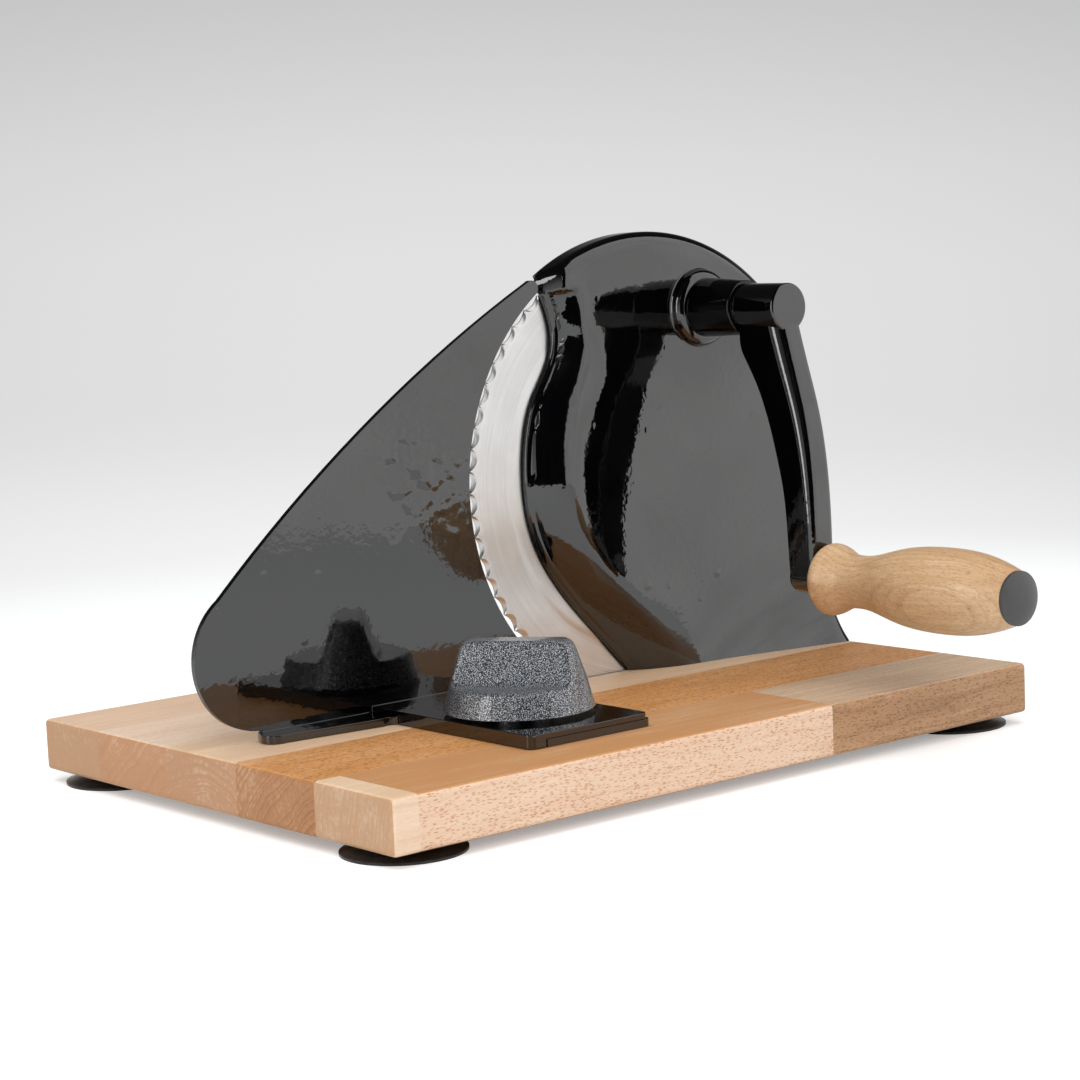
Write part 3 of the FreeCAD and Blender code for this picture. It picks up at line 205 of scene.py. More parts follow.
tone = calc(t, "MULTIPLY", calc(t, "SUBTRACT", streak, 0.5), 0.9)
tone = calc(t, "ADD", tone, calc(t, "MULTIPLY", calc(t, "SUBTRACT", pores, 0.5), 0.35))
tone = calc(t, "ADD", tone, calc(t, "MULTIPLY", calc(t, "SUBTRACT", cloud, 0.5), 0.7))
darker = calc(t, "ADD", calc(t, "ADD", calc(t, "MULTIPLY", lines, 0.55), fleck), tone)
colour = blend(t, calc(t, "ADD", darker, 0.0, clamp=True), given["Wood"], given["Fleck"])
paler = blend(t, calc(t, "MULTIPLY", calc(t, "SUBTRACT", 0.0, darker), 0.8, clamp=True), colour,
              BLEACHED)
t.links.new(paler, result.inputs["Color"])
t.links.new(calc(t, "SUBTRACT", calc(t, "MULTIPLY", pores, 0.5), calc(t, "MULTIPLY", fleck, 0.8)),
            result.inputs["Height"])
t.links.new(calc(t, "MULTIPLY_ADD", pores, 0.16, 0.36), result.inputs["Dull"])

# The seven pieces, told apart by Y, and in the front row also by X, in millimetres from the middle
# of the top: their colours on each face, where the pith lay, and how strong flecks and lines are.
BOARD_DEEP = 250.0
FRONT_JOINT = -76.5
SHORT_BLOCK_TO, RIGHT_BLOCK_FROM = -163.0, 52.0
ROWS = (0.0, 0.194, 0.404, 0.608, 0.82)
FACES_SO = 0.7
PITH_REACH = 250.0
board_finish, t, shader = new_finish("oiled beech board")
place = place_in_mm(t, BOARD_TOP)
across = put(t, "ShaderNodeSeparateXYZ", {0: place}).outputs
row_at = calc(t, "DIVIDE", calc(t, "ADD", across[1], BOARD_DEEP / 2), BOARD_DEEP)
in_front = calc(t, "LESS_THAN", across[1], FRONT_JOINT)
short_block = calc(t, "MULTIPLY", in_front, calc(t, "LESS_THAN", across[0], SHORT_BLOCK_TO))
right_block = calc(t, "MULTIPLY", in_front, calc(t, "GREATER_THAN", across[0], RIGHT_BLOCK_FROM))
facing = put(t, "ShaderNodeSeparateXYZ", {0: put(t, "ShaderNodeTexCoord").outputs["Normal"]}).outputs
end_face = calc(t, "GREATER_THAN", calc(t, "ABSOLUTE", facing[0]), FACES_SO)
side_face = calc(t, "GREATER_THAN", calc(t, "ABSOLUTE", facing[1]), FACES_SO)


def by_piece(rows, short, right):
    """One value for each of the board's pieces."""
    value = steps(t, row_at, list(zip(ROWS, rows)))
    value = blend(t, short_block, value, short)
    return blend(t, right_block, value, right)


top_wood = by_piece([rgb(193, 140, 91), rgb(206, 146, 88), rgb(222, 186, 152), rgb(226, 197, 172),
                     rgb(218, 184, 154)], rgb(222, 190, 156), rgb(203, 173, 142))
side_wood = by_piece([rgb(227, 194, 166), rgb(206, 146, 88), rgb(222, 186, 152), rgb(208, 171, 140),
                      rgb(224, 186, 150)], rgb(232, 204, 178), rgb(182, 140, 102))
end_wood = by_piece([rgb(195, 155, 119), rgb(181, 128, 83), rgb(190, 143, 105), rgb(197, 145, 104),
                     rgb(191, 147, 108)], rgb(196, 155, 119), rgb(200, 156, 116))
wood = blend(t, side_face, top_wood, side_wood)
wood = blend(t, end_face, wood, end_wood)
fleck_tone = by_piece([rgb(192, 122, 76), rgb(130, 74, 30), rgb(184, 138, 98), rgb(170, 124, 86),
                       rgb(190, 146, 108)], rgb(190, 140, 96), rgb(118, 80, 48))
# how strong the flecks are on the top (red) and on the long side (green), and the lines (blue)
strength = by_piece([(0.25, 0.95, 0.25, 1), (0.95, 0.95, 0.3, 1), (0.3, 0.3, 0.35, 1),
                     (0.3, 0.3, 0.3, 1), (0.25, 0.25, 0.45, 1)],
                    (0.15, 0.15, 0.3, 1), (0.35, 0.8, 0.9, 1))
strengths = put(t, "ShaderNodeSeparateColor", {0: strength}).outputs
fleck_strength = put(t, "ShaderNodeMix", {0: side_face, 2: strengths[0], 3: strengths[1]},
                     data_type="FLOAT").outputs[0]
# pith places: red is Y and green is Z, both from -PITH_REACH to PITH_REACH, and blue seeds the noise
pith = by_piece([(0.18, 0.47, 0.1, 1), (0.30, 0.36, 0.3, 1), (0.51, 0.38, 0.5, 1), (0.46, 0.30, 0.7, 1),
                 (0.94, 0.44, 0.9, 1)], (0.16, 0.45, 0.15, 1), (0.20, 0.50, 0.25, 1))
piths = put(t, "ShaderNodeSeparateColor", {0: pith}).outputs
centre = put(t, "ShaderNodeCombineXYZ",
             {0: calc(t, "MULTIPLY", piths[2], -900.0),
              1: calc(t, "MULTIPLY_ADD", piths[0], 2 * PITH_REACH, -PITH_REACH),
              2: calc(t, "MULTIPLY_ADD", piths[1], 2 * PITH_REACH, -PITH_REACH)}).outputs[0]
beech = place_group(t, beech_group,
                    {"Place": vector_calc(t, "SUBTRACT", place, centre), "Wood": wood, "Fleck": fleck_tone,
                     "Seed": calc(t, "MULTIPLY", piths[2], 20.0), "Flecks": fleck_strength,
                     "Lines": strengths[2], "End": end_face})
t.links.new(beech["Color"], shader.inputs["Base Color"])
t.links.new(beech["Dull"], shader.inputs["Roughness"])
shader.inputs["Specular IOR Level"].default_value = 0.35
raise_by(t, beech["Height"], 0.00006, shader)
dress(board_finish, "base_board")


# ================================================================ SUCTION CUPS
# Four thin moulded saucers of glossy black rubber under the board's corners, each held by a pan
# head screw in the middle.


def paint_between(tree, factor, low, low_colour, high, high_colour, shader):
    """Base colour that runs from one colour to another as the factor rises."""
    tree.links.new(steps(tree, factor, [(low, low_colour), (high, high_colour)], "LINEAR"),
                   shader.inputs["Base Color"])


rubber, t, shader = new_finish("glossy black rubber")
place = place_in_mm(t)
dusty = noise(t, place, 0.12, 3, 0.6)
paint_between(t, dusty, 0.35, (0.009, 0.009, 0.010, 1), 0.75, (0.018, 0.017, 0.017, 1), shader)
t.links.new(between(t, dusty, 0.3, 0.8, 0.16, 0.30), shader.inputs["Roughness"])
raise_by(t, noise(t, place, 0.9, 2), 0.00003, shader)
dress(rubber, "cup_front_left", "cup_front_right", "cup_rear_left", "cup_rear_right")


# ================================================================ BLACK CASTINGS
# The guard is a thin aluminium casting in black gloss lacquer: a flat face that rolls back along an
# S in front of the blade, a rounded rim over it, and a boss for the crank. Three screws from below
# the board hold its foot.

# millimetres from the middle of the board's top, and degrees round the rim's centre
BLADE_CENTRE = (73.2, 88.6)
RIM_CENTRE = (71.5, 89.8)
RIM_RADIUS = 106.57
RIM_LIP, RIM_FOOT = 122.6, -1.2
FACE_FRONT = -3.0
WALL = 3.0


def spot(points):
    """Points in millimetres from the middle of the board's top, as metres in the frame."""
    return np.asarray(points, float) / 1000 + BOARD_TOP


def new_piece(name, points, faces, body, slot, material, stands_for=(), crease=32):
    """A smooth mesh piece that moves with a body and may stand for CAD nodes; edges over crease stay."""
    mesh = bpy.data.meshes.new(name)
    mesh.from_pydata([tuple(p) for p in spot(points)], [], faces)
    work = bmesh.new()
    work.from_mesh(mesh)
    bmesh.ops.remove_doubles(work, verts=work.verts, dist=2e-6)
    bmesh.ops.recalc_face_normals(work, faces=work.faces)
    work.to_mesh(mesh)
    work.free()
    mesh.polygons.foreach_set("use_smooth", [True] * len(mesh.polygons))
    mesh.set_sharp_from_angle(angle=math.radians(crease))
    mesh.materials.append(material)
    piece = bpy.data.objects.new(name, mesh)
    bpy.context.scene.collection.objects.link(piece)
    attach(piece, body)
    if stands_for:
        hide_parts(*stands_for)


def smooth_path(corners, count):
    """Points evenly spaced along a natural cubic curve through the corners."""
    corners = np.asarray(corners, float)
    knots = np.concatenate([[0], np.cumsum(np.linalg.norm(np.diff(corners, axis=0), axis=1))])
    many = len(corners)
    gaps = np.diff(knots)
    matrix = np.eye(many)
    right = np.zeros_like(corners)
    for i in range(1, many - 1):
        matrix[i, i - 1:i + 2] = gaps[i - 1], 2 * (gaps[i - 1] + gaps[i]), gaps[i]
        after = (corners[i + 1] - corners[i]) / gaps[i]
        before = (corners[i] - corners[i - 1]) / gaps[i - 1]
        right[i] = 6 * (after - before)
    bends = np.linalg.solve(matrix, right)
    fine = np.linspace(0, knots[-1], 1500)
    i = np.clip(np.searchsorted(knots, fine, side="right") - 1, 0, many - 2)
    a = ((knots[i + 1] - fine) / gaps[i])[:, None]
    b = 1 - a
    curve = (a * corners[i] + b * corners[i + 1]
             + ((a ** 3 - a) * bends[i] + (b ** 3 - b) * bends[i + 1]) * (gaps[i] ** 2 / 6)[:, None])
    return spread(curve, count)


def spread(curve, count):
    """Points evenly spaced along a fine polyline; count may also be the wanted shares."""
    length = np.concatenate([[0], np.cumsum(np.linalg.norm(np.diff(curve, axis=0), axis=1))])
    wanted = (np.linspace(0, 1, count) if np.isscalar(count) else count) * length[-1]
    return np.stack([np.interp(wanted, length, values) for values in curve.T], 1)


def grid_faces(rows, columns, closed_rows=False, closed_columns=False):
    """Quads of a grid of points numbered row by row."""
    faces = []
    for i in range(rows if closed_rows else rows - 1):
        for j in range(columns if closed_columns else columns - 1):
            a, b, beside = i * columns, ((i + 1) % rows) * columns, (j + 1) % columns
            faces.append((a + j, a + beside, b + beside, b + j))
    return faces


# the S edge from the board up to the nose, as X and Z
S_EDGE = smooth_path([(57, 0), (35, 23), (15.5, 45.5), (4.6, 66), (0.9, 88), (2.2, 108), (7.5, 125.5),
                      (15.5, 138.5), (19.6, 151), (18.3, 161), (16.6, 166), (14.2, 171.2), (13.2, 173)],
                     400)
S_LEAN = np.gradient(S_EDGE[:, 0], S_EDGE[:, 1])
S_ROUNDING = 3.0
S_BACK = 7.2
ROLL_RADIUS, ROLL_WIDTH = 35, 23.4
SWELL_HIGH, SWELL_FROM_EDGE = 1.2, 20
FLARE_FROM, FLARE_SOFT, FLARE_SLOPE, FLARE_HIGH = 94, 20, 0.215, 18
NOSE_UNDER, NOSE_STEP, NOSE_RIGHT, NOSE_SLANT, NOSE_SOFT = 173.4, 2.4, 20.5, 0.8, 1.0
# by how much, from which height and over what length the roll narrows and widens again going up,
# and the swell fades
ROLL_NARROWS, ROLL_WIDENS, SWELL_FADES = (0.65, 125, 47), (0.45, 158, 14), (0.65, 90, 50)


def rise(z, share, start, length):
    """From 0 to a share as z climbs through a length above its start."""
    return share * np.clip((z - start) / length, 0, 1)


def face_depth(x, z):
    """Y of the guard's face: flat, flared forward at the foot and rolled back beside the S."""
    start = x - FLARE_FROM
    flare = -FLARE_SLOPE * (start + np.hypot(start, FLARE_SOFT)) / 2 * np.exp(-z / FLARE_HIGH)
    width = 1 - rise(z, *ROLL_NARROWS) + rise(z, *ROLL_WIDENS)
    level = np.clip(z, S_EDGE[0, 1], S_EDGE[-1, 1])
    edge = np.interp(level, S_EDGE[:, 1], S_EDGE[:, 0])
    from_edge = (x - edge) / np.hypot(1, np.interp(level, S_EDGE[:, 1], S_LEAN))
    distance = from_edge / width
    roll = ROLL_RADIUS - np.sqrt(ROLL_RADIUS ** 2 - np.clip(ROLL_WIDTH - distance, 0, ROLL_WIDTH) ** 2)
    swell = (1 - rise(z, *SWELL_FADES)) * np.exp(-((distance - SWELL_FROM_EDGE) / SWELL_FROM_EDGE) ** 2)
    swell = SWELL_HIGH * swell * np.clip(distance / SWELL_FROM_EDGE, 0, 1)
    face = FACE_FRONT + flare + roll - swell
    turned_in = S_BACK - np.sqrt(S_ROUNDING ** 2 - np.clip(S_ROUNDING - from_edge, 0, S_ROUNDING) ** 2)
    face = np.where(from_edge < S_ROUNDING, np.maximum(face, turned_in), face)
    nose = FACE_FRONT + flare + NOSE_SLANT * (NOSE_RIGHT - x + np.hypot(NOSE_RIGHT - x, NOSE_SOFT))
    below = np.clip((NOSE_UNDER - z) / NOSE_STEP, 0, 1)
    return nose + (face - nose) * below ** 2 * (3 - 2 * below)


SIDE_LEAN = math.tan(math.radians(RIM_FOOT))


def rim_path(inset, shares):
    """The guard's outline from its right foot up the side and over the blade to the lip."""
    angles = np.radians(np.linspace(RIM_FOOT, RIM_LIP, 300))
    radius = RIM_RADIUS - inset
    arc = np.stack([RIM_CENTRE[0] + radius * np.cos(angles), RIM_CENTRE[1] + radius * np.sin(angles)], 1)
    foot = arc[0] + np.array([SIDE_LEAN, -1]) * arc[0, 1]
    return spread(np.vstack([foot, arc]), shares)


# orange peel: the slow and the fine waves of a thick gloss coat and a few lumps in it, in metres
FINE_WAVES, MIDDLE_WAVES, SLOW_WAVES, LUMPS = 0.00003, 0.00004, 0.00025, 0.00006
LUMPS_LEFT_OUT = 0.55
peel_group, given, result = new_group(
    "orange peel", [("Place", "NodeSocketVector", None), ("Size", "NodeSocketFloat", 1.0),
                    ("Depth", "NodeSocketFloat", 1.0)], [("Height", "NodeSocketFloat")])
t = peel_group
sizes = put(t, "ShaderNodeCombineXYZ", {0: given["Size"], 1: given["Size"], 2: given["Size"]}).outputs[0]
scaled = vector_calc(t, "MULTIPLY", given["Place"], sizes)
fine = noise(t, scaled, 0.40, 1, 0.5)
middle = noise(t, scaled, 0.14, 1, 0.5, 2.0)
slow = noise(t, scaled, 0.022, 1, 0.5, 3.0)
height = calc(t, "ADD", calc(t, "MULTIPLY", fine, FINE_WAVES), calc(t, "MULTIPLY", middle, MIDDLE_WAVES))
height = calc(t, "ADD", height, calc(t, "MULTIPLY", slow, SLOW_WAVES))
drops = put(t, "ShaderNodeTexVoronoi", {"Vector": scaled, "Scale": 0.075, "Randomness": 1.0})
kept = put(t, "ShaderNodeSeparateColor", {0: drops.outputs["Color"]}).outputs
drop = between(t, drops.outputs["Distance"], 0.22, 0.05)
drop = calc(t, "MULTIPLY", drop, calc(t, "GREATER_THAN", kept[0], LUMPS_LEFT_OUT))
height = calc(t, "ADD", height, calc(t, "MULTIPLY", drop, LUMPS))
t.links.new(calc(t, "MULTIPLY", height, given["Depth"]), result.inputs["Height"])


def lacquer_finish(name, size=1.0, depth=1.0, blotch=None, gloss=1.85):
    """Black gloss lacquer; blotch is the middle and radius in mm of a patch with rougher peel."""
    material, t, shader = new_finish(name)
    place = place_in_mm(t, BOARD_TOP)
    uneven = noise(t, place, 0.03, 3, 0.6)
    paint_between(t, uneven, 0.3, (0.0006, 0.0006, 0.0008, 1), 0.7, (0.0016, 0.0015, 0.0014, 1), shader)
    t.links.new(between(t, uneven, 0.3, 0.7, 0.03, 0.055), shader.inputs["Roughness"])
    shader.inputs["IOR"].default_value = gloss
    deep = depth
    if blotch is not None:
        centre, radius = blotch
        away = put(t, "ShaderNodeVectorMath", {0: place, 1: centre}, operation="DISTANCE")
        rough_patch = calc(t, "MULTIPLY", between(t, away.outputs["Value"], radius, radius * 0.3),
                           between(t, noise(t, place, 0.05, 2), 0.45, 0.6))
        deep = calc(t, "MULTIPLY_ADD", rough_patch, depth * 2.0, depth)
    peel = place_group(t, peel_group, {"Place": place, "Size": size, "Depth": deep})
    raise_by(t, peel["Height"], 1.0, shader)
    return material


guard_lacquer = lacquer_finish("black lacquer guard")
small_lacquer = lacquer_finish("black lacquer crank", 1.3, 0.6)
boss_lacquer = lacquer_finish("black lacquer boss", 1.3, 0.6, gloss=1.42)
fence_lacquer = lacquer_finish("black lacquer fence", blotch=((-50.0, 4.6, 100.0), 45.0))


def straight_back(spot_on_rim, front, back):
    """Points that run back from the rim's rounding to its rear edge."""
    depths = np.linspace(front, back, WALL_STEPS + 1)[1:]
    return np.stack([np.full(WALL_STEPS, spot_on_rim[0]), depths, np.full(WALL_STEPS, spot_on_rim[1])], 1)


# The shell: for each row from the foot to the lip, a closed loop of points runs from the S edge
# over the face and the rounded rim to its back, and returns inside at the wall's thickness.
ROUNDING = 6.5
RIM_BACK = 11.0
NEAR_S = np.array([0, 0.04, 0.12, 0.25, 0.42, 0.65, 0.95, 1.35, 1.9, 2.6, 3.4, 4.4, 5.5, 6.7, 8, 9.4,
                   10.9, 12.5, 14.2, 16, 17.9, 19.9, 22, 24.2, 26.5, 29])
NEAR_RIM = np.array([8, 6.6, 5.4, 4.6, 4.0, 3.4, 2.8, 2.3, 1.85, 1.45, 1.1, 0.8, 0.54, 0.33, 0.17, 0.06, 0])
WALL_STEPS = 7
MIDDLE_STEPS = 11
S_SIDE_AT_MOST, RIM_SIDE_AT_MOST = 0.6, 0.35
shares_up = np.concatenate([np.linspace(0, 0.9, 90, endpoint=False), np.linspace(0.9, 1, 40)])
foot_x = rim_path(0, np.array([0.0]))[0, 0]
straight_up_to = RIM_CENTRE[1] + RIM_RADIUS * math.sin(math.radians(RIM_FOOT))
loops = []
for s_spot, rim_spot, rim_inner in zip(spread(S_EDGE, shares_up), rim_path(0, shares_up),
                                       rim_path(WALL, shares_up)):
    run = np.linalg.norm(rim_spot - s_spot)
    first = NEAR_S * min(1, S_SIDE_AT_MOST * run / NEAR_S[-1])
    last = run - NEAR_RIM * min(1, RIM_SIDE_AT_MOST * run / NEAR_RIM[0])
    shares = np.concatenate([first, np.linspace(first[-1], last[0], MIDDLE_STEPS)[1:-1], last]) / run
    flat = s_spot + (rim_spot - s_spot) * shares[:, None]
    away = np.minimum(np.hypot(*(flat - np.array(RIM_CENTRE)).T) - RIM_RADIUS, 0)
    side = flat[:, 0] - (foot_x - flat[:, 1] * SIDE_LEAN)
    away = np.abs(np.where(flat[:, 1] < straight_up_to, side, away))
    inside = np.clip(1 - away / ROUNDING, 0, 1)
    depth = face_depth(flat[:, 0], flat[:, 1]) + ROUNDING * (1 - np.sqrt(1 - inside ** 2))
    outer = np.stack([flat[:, 0], np.minimum(depth, RIM_BACK - 1.5), flat[:, 1]], 1)
    wall_out = straight_back(rim_spot, outer[-1, 1], RIM_BACK - 0.6)
    flat_in = s_spot + (rim_inner - s_spot) * shares[:, None]
    depth_in = np.minimum(face_depth(flat_in[:, 0], flat_in[:, 1]) + WALL, S_BACK)
    inner = np.stack([flat_in[:, 0], depth_in, flat_in[:, 1]], 1)
    wall_in = straight_back(rim_inner, inner[-1, 1], RIM_BACK - 0.3)
    inward = (rim_inner - rim_spot) / WALL
    turns = [(0.2, RIM_BACK - 0.2), (0.6, RIM_BACK), (WALL - 0.3, RIM_BACK)]
    rounded = [(rim_spot[0] + inward[0] * far, y, rim_spot[1] + inward[1] * far) for far, y in turns]
    loops.append(np.vstack([outer, wall_out, rounded, wall_in[::-1], inner[::-1]]))
around = len(loops[0])
points = np.vstack(loops)
faces = grid_faces(len(loops), around, closed_columns=True)
half = len(shares) + WALL_STEPS
for base in (0, (len(loops) - 1) * around):
    ring_out = list(range(base, base + half))
    ring_in = [base + around - 1 - k for k in range(half)]
    for k in range(half - 1):
        faces.append((ring_out[k], ring_out[k + 1], ring_in[k + 1], ring_in[k]))
    faces.append((ring_out[-1], base + half, base + half + 1, base + half + 2, ring_in[-1]))
new_piece("guard_shell", points, faces, "stand", "black_lacquer", guard_lacquer, ("blade_housing",))


def turned(profile, centre, segments=96):
    """Points and faces of a body turned about a line along Y: the profile is (y, radius) pairs."""
    angles = np.linspace(0, 2 * math.pi, segments, endpoint=False)
    rows = [np.stack([centre[0] + r * np.cos(angles), np.full(segments, float(y)),
                      centre[1] + r * np.sin(angles)], 1) for y, r in profile]
    return np.vstack(rows), grid_faces(len(rows), segments, closed_columns=True)


NEAR_HALF = 0.48


def softened(profile, radius, count):
    """A polyline with its inner corners rounded; radius is one number or one for each corner."""
    profile = [np.asarray(p, float) for p in profile]
    radii = [radius] * len(profile) if np.isscalar(radius) else list(radius)
    made = [profile[0]]
    for i in range(1, len(profile) - 1):
        before, here, after = profile[i - 1], profile[i], profile[i + 1]
        u = (before - here) / np.linalg.norm(before - here)
        v = (after - here) / np.linalg.norm(after - here)
        angle = math.acos(np.clip(u @ v, -1, 1))
        if radii[i] <= 0 or angle > math.pi - 0.02:
            made.append(here)
            continue
        reach = min(radii[i] / math.tan(angle / 2), NEAR_HALF * np.linalg.norm(before - here),
                    NEAR_HALF * np.linalg.norm(after - here))
        bow = reach * math.tan(angle / 2)
        middle = here + (u + v) / np.linalg.norm(u + v) * bow / math.sin(angle / 2)
        first, last = here + u * reach - middle, here + v * reach - middle
        sweep = math.acos(np.clip(first @ last / bow ** 2, -1, 1))
        for k in range(count + 1):
            s = k / count
            across = math.sin((1 - s) * sweep) * first + math.sin(s * sweep) * last
            made.append(middle + across / math.sin(sweep))
    made.append(profile[-1])
    return np.array(made)


# the boss round the crank's shaft: a rounded collar that runs out into the face, then the barrel
CRANK = (99.925, 161.080)
COLLAR_ROUND = 128
BARREL_RADIUS = 13.2
turns = np.radians(np.linspace(0, 90, 13))
collar = np.stack([-3.9 - 4.6 * np.sin(turns), BARREL_RADIUS + 4.1 * np.cos(turns)], 1)
collar = np.vstack([[(-1.5, 21), (-2.6, 19.6), (-2.95, 18.4), (-3.2, 17.7)], collar, [(-8.4, 12.6)]])
new_piece("guard_collar", *turned(collar, CRANK, COLLAR_ROUND), "stand", "black_lacquer", guard_lacquer)
barrel = softened([(-8.0, 13.3), (-33.9, 12.05), (-33.9, 9.0), (-33.0, 8.0)], [0, 0.8, 0.4, 0], 8)
new_piece("guard_boss", *turned(barrel, CRANK, COLLAR_ROUND), "stand", "black_lacquer", boss_lacquer)

# inside the shell: the seat of the blade's axle and the three lugs for the foot's screws
seat = softened([(-2, 0.01), (-2, 15.8), (0.9, 15.2), (1.6, 14.6), (1.6, 3)], 0.5, 3)
seat_points, faces = turned(seat, BLADE_CENTRE)
points = [seat_points]
lug_profile = softened([(0, 2.1), (0, 5), (13, 4.8), (13, 0.01)], 0.8, 3)
LUGS = ((112, 2), (150, -4.5), (169, 4))
for x, y in LUGS:
    lug, lug_faces = turned(lug_profile, (x, y), 32)
    start = sum(len(p) for p in points)
    faces += [tuple(start + k for k in face) for face in lug_faces]
    points.append(lug[:, [0, 2, 1]])
new_piece("guard_seat_and_lugs", np.vstack(points), faces, "stand", "black_lacquer", guard_lacquer)


# ================================================================ BLADE
# A stamped disc of stainless steel with a wavy ground edge, brushed round and round, with a step
# pressed into it; its gear and hub are riveted on, and it turns on a pin with a washer and screw.

BLADE_FRONT = 8.0
BLADE_RADIUS = 101.0
BRUSHED, BANDED, STAINED = 0.45, 0.25, 0.35
steel, t, shader = new_finish("brushed blade steel")
place = place_in_mm(t, spot([(BLADE_CENTRE[0], BLADE_FRONT, BLADE_CENTRE[1])])[0])
axes = put(t, "ShaderNodeSeparateXYZ", {0: place}).outputs
radius = calc(t, "SQRT", calc(t, "ADD", calc(t, "MULTIPLY", axes[0], axes[0]),
                              calc(t, "MULTIPLY", axes[2], axes[2])))
turning = calc(t, "ARCTAN2", axes[2], axes[0])
around_blade = put(t, "ShaderNodeCombineXYZ", {0: calc(t, "MULTIPLY", radius, 2.2),
                                               1: calc(t, "MULTIPLY", turning, 3.0)}).outputs[0]
brushed = noise(t, around_blade, 1.0, 5, 0.7)
bands = noise(t, put(t, "ShaderNodeCombineXYZ", {0: calc(t, "MULTIPLY", radius, 0.45)}).outputs[0], 1.0, 2)
stains = noise(t, place, 0.03, 3, 0.6)
shade = calc(t, "ADD", calc(t, "MULTIPLY", calc(t, "SUBTRACT", brushed, 0.5), BRUSHED),
             calc(t, "MULTIPLY", calc(t, "SUBTRACT", bands, 0.5), BANDED))
shade = calc(t, "ADD", shade, calc(t, "MULTIPLY", calc(t, "SUBTRACT", stains, 0.5), STAINED))
paint_between(t, calc(t, "ADD", shade, 0.5), 0.25, rgb(176, 177, 179), 0.75, rgb(234, 233, 230), shader)
shader.inputs["Metallic"].default_value = 1.0
t.links.new(calc(t, "MULTIPLY_ADD", brushed, 0.16, 0.22), shader.inputs["Roughness"])
raise_by(t, brushed, 0.00002, shader)

# From the hub out along the front, round the wavy edge, and back in along the rear: each row of
# points is a radius, the same all round or one for each angle, and how far back it lies.
SCALLOPS = 66
PER_SCALLOP = 12
SCALLOP_DEEP, GROUND_WIDE = 1.6, 3.6
FLAT_TO = 93
angles = np.linspace(0, 2 * math.pi, SCALLOPS * PER_SCALLOP, endpoint=False)
within = np.abs(((angles * SCALLOPS / (2 * math.pi)) % 1) * 2 - 1)
hollowed = 1 - within ** 2
edge = BLADE_RADIUS - SCALLOP_DEEP * hollowed
ground = BLADE_RADIUS - 0.25 - GROUND_WIDE * hollowed ** 0.8
rows = [(10, 0), (40, 0), (60, 0), (69.5, 0), (70.5, 0.12), (71.5, 0.12), (77, 0.12), (78.4, 0.2),
        (79.4, 0.32), (80.4, 0.4), (82, 0.4), (87, 0.4), (FLAT_TO, 0.4)]
rows += [(FLAT_TO + (ground - FLAT_TO) * share, 0.4) for share in (0.5, 0.97)]
rows += [(ground + (edge - ground) * share, back)
         for share, back in ((0.0, 0.41), (0.15, 0.52), (0.4, 0.71), (0.7, 0.9), (0.97, 1.05))]
rows += [(edge, 1.45), (98.4, 1.7), (FLAT_TO, 1.7), (80.4, 1.7), (78.8, 1.3), (60, 1.3), (10, 1.3)]
points = np.vstack([np.stack([BLADE_CENTRE[0] + r * np.cos(angles), np.full(len(angles), BLADE_FRONT + back),
                              BLADE_CENTRE[1] + r * np.sin(angles)], 1) for r, back in rows])
faces = grid_faces(len(rows), len(angles), closed_rows=True, closed_columns=True)
new_piece("slicing_blade", points, faces, "blade", "blade_steel", steel, ("blade_disc",), 24)

gear_steel, t, shader = new_finish("milled gear steel")
place = place_in_mm(t)
milled = noise(t, vector_calc(t, "MULTIPLY", place, (1, 0.2, 1)), 0.8, 4, 0.6)
paint_between(t, milled, 0.3, rgb(120, 116, 110), 0.7, rgb(168, 164, 156), shader)
shader.inputs["Metallic"].default_value = 1.0
t.links.new(between(t, milled, 0.2, 0.8, 0.34, 0.5), shader.inputs["Roughness"])
dress(gear_steel, "blade_gear", "drive_pinion")

bronze, t, shader = new_finish("turned bronze")
place = place_in_mm(t)
turned_lines = noise(t, vector_calc(t, "MULTIPLY", place, (0.4, 6, 0.4)), 1, 3, 0.6)
paint_between(t, turned_lines, 0.3, rgb(150, 112, 62), 0.7, rgb(196, 156, 94), shader)
shader.inputs["Metallic"].default_value = 1.0
t.links.new(between(t, turned_lines, 0.2, 0.8, 0.25, 0.4), shader.inputs["Roughness"])
dress(bronze, "blade_hub", "crank_bush", "knob_insert")

plated, t, shader = new_finish("zinc plated steel")
place = place_in_mm(t)
clouded = noise(t, place, 0.35, 4, 0.6)
paint_between(t, clouded, 0.3, rgb(176, 178, 180), 0.7, rgb(214, 214, 212), shader)
shader.inputs["Metallic"].default_value = 1.0
t.links.new(between(t, clouded, 0.25, 0.75, 0.2, 0.36), shader.inputs["Roughness"])
raise_by(t, clouded, 0.00002, shader)
dress(plated, "blade_rivets", "blade_axle", "blade_washer", "blade_screw", "cup_screws", "housing_screws",
      "crank_shaft", "shaft_ring", "thrust_washer", "arm_set_screw", "grip_spindle", "spindle_nut",
      "guide_screws", "clamp_stud", "clamp_washer")


# ================================================================ CRANK ARM
# A bowed cast arm in the same black lacquer, with a round hub on the shaft and an eye for the grip.

dress(small_lacquer, "crank_arm")


# ================================================================ GRIP
# A bulging grip turned from one piece of beech and lacquered clear; it spins on a steel pin, and a
# domed cap of dark grey plastic closes its end.

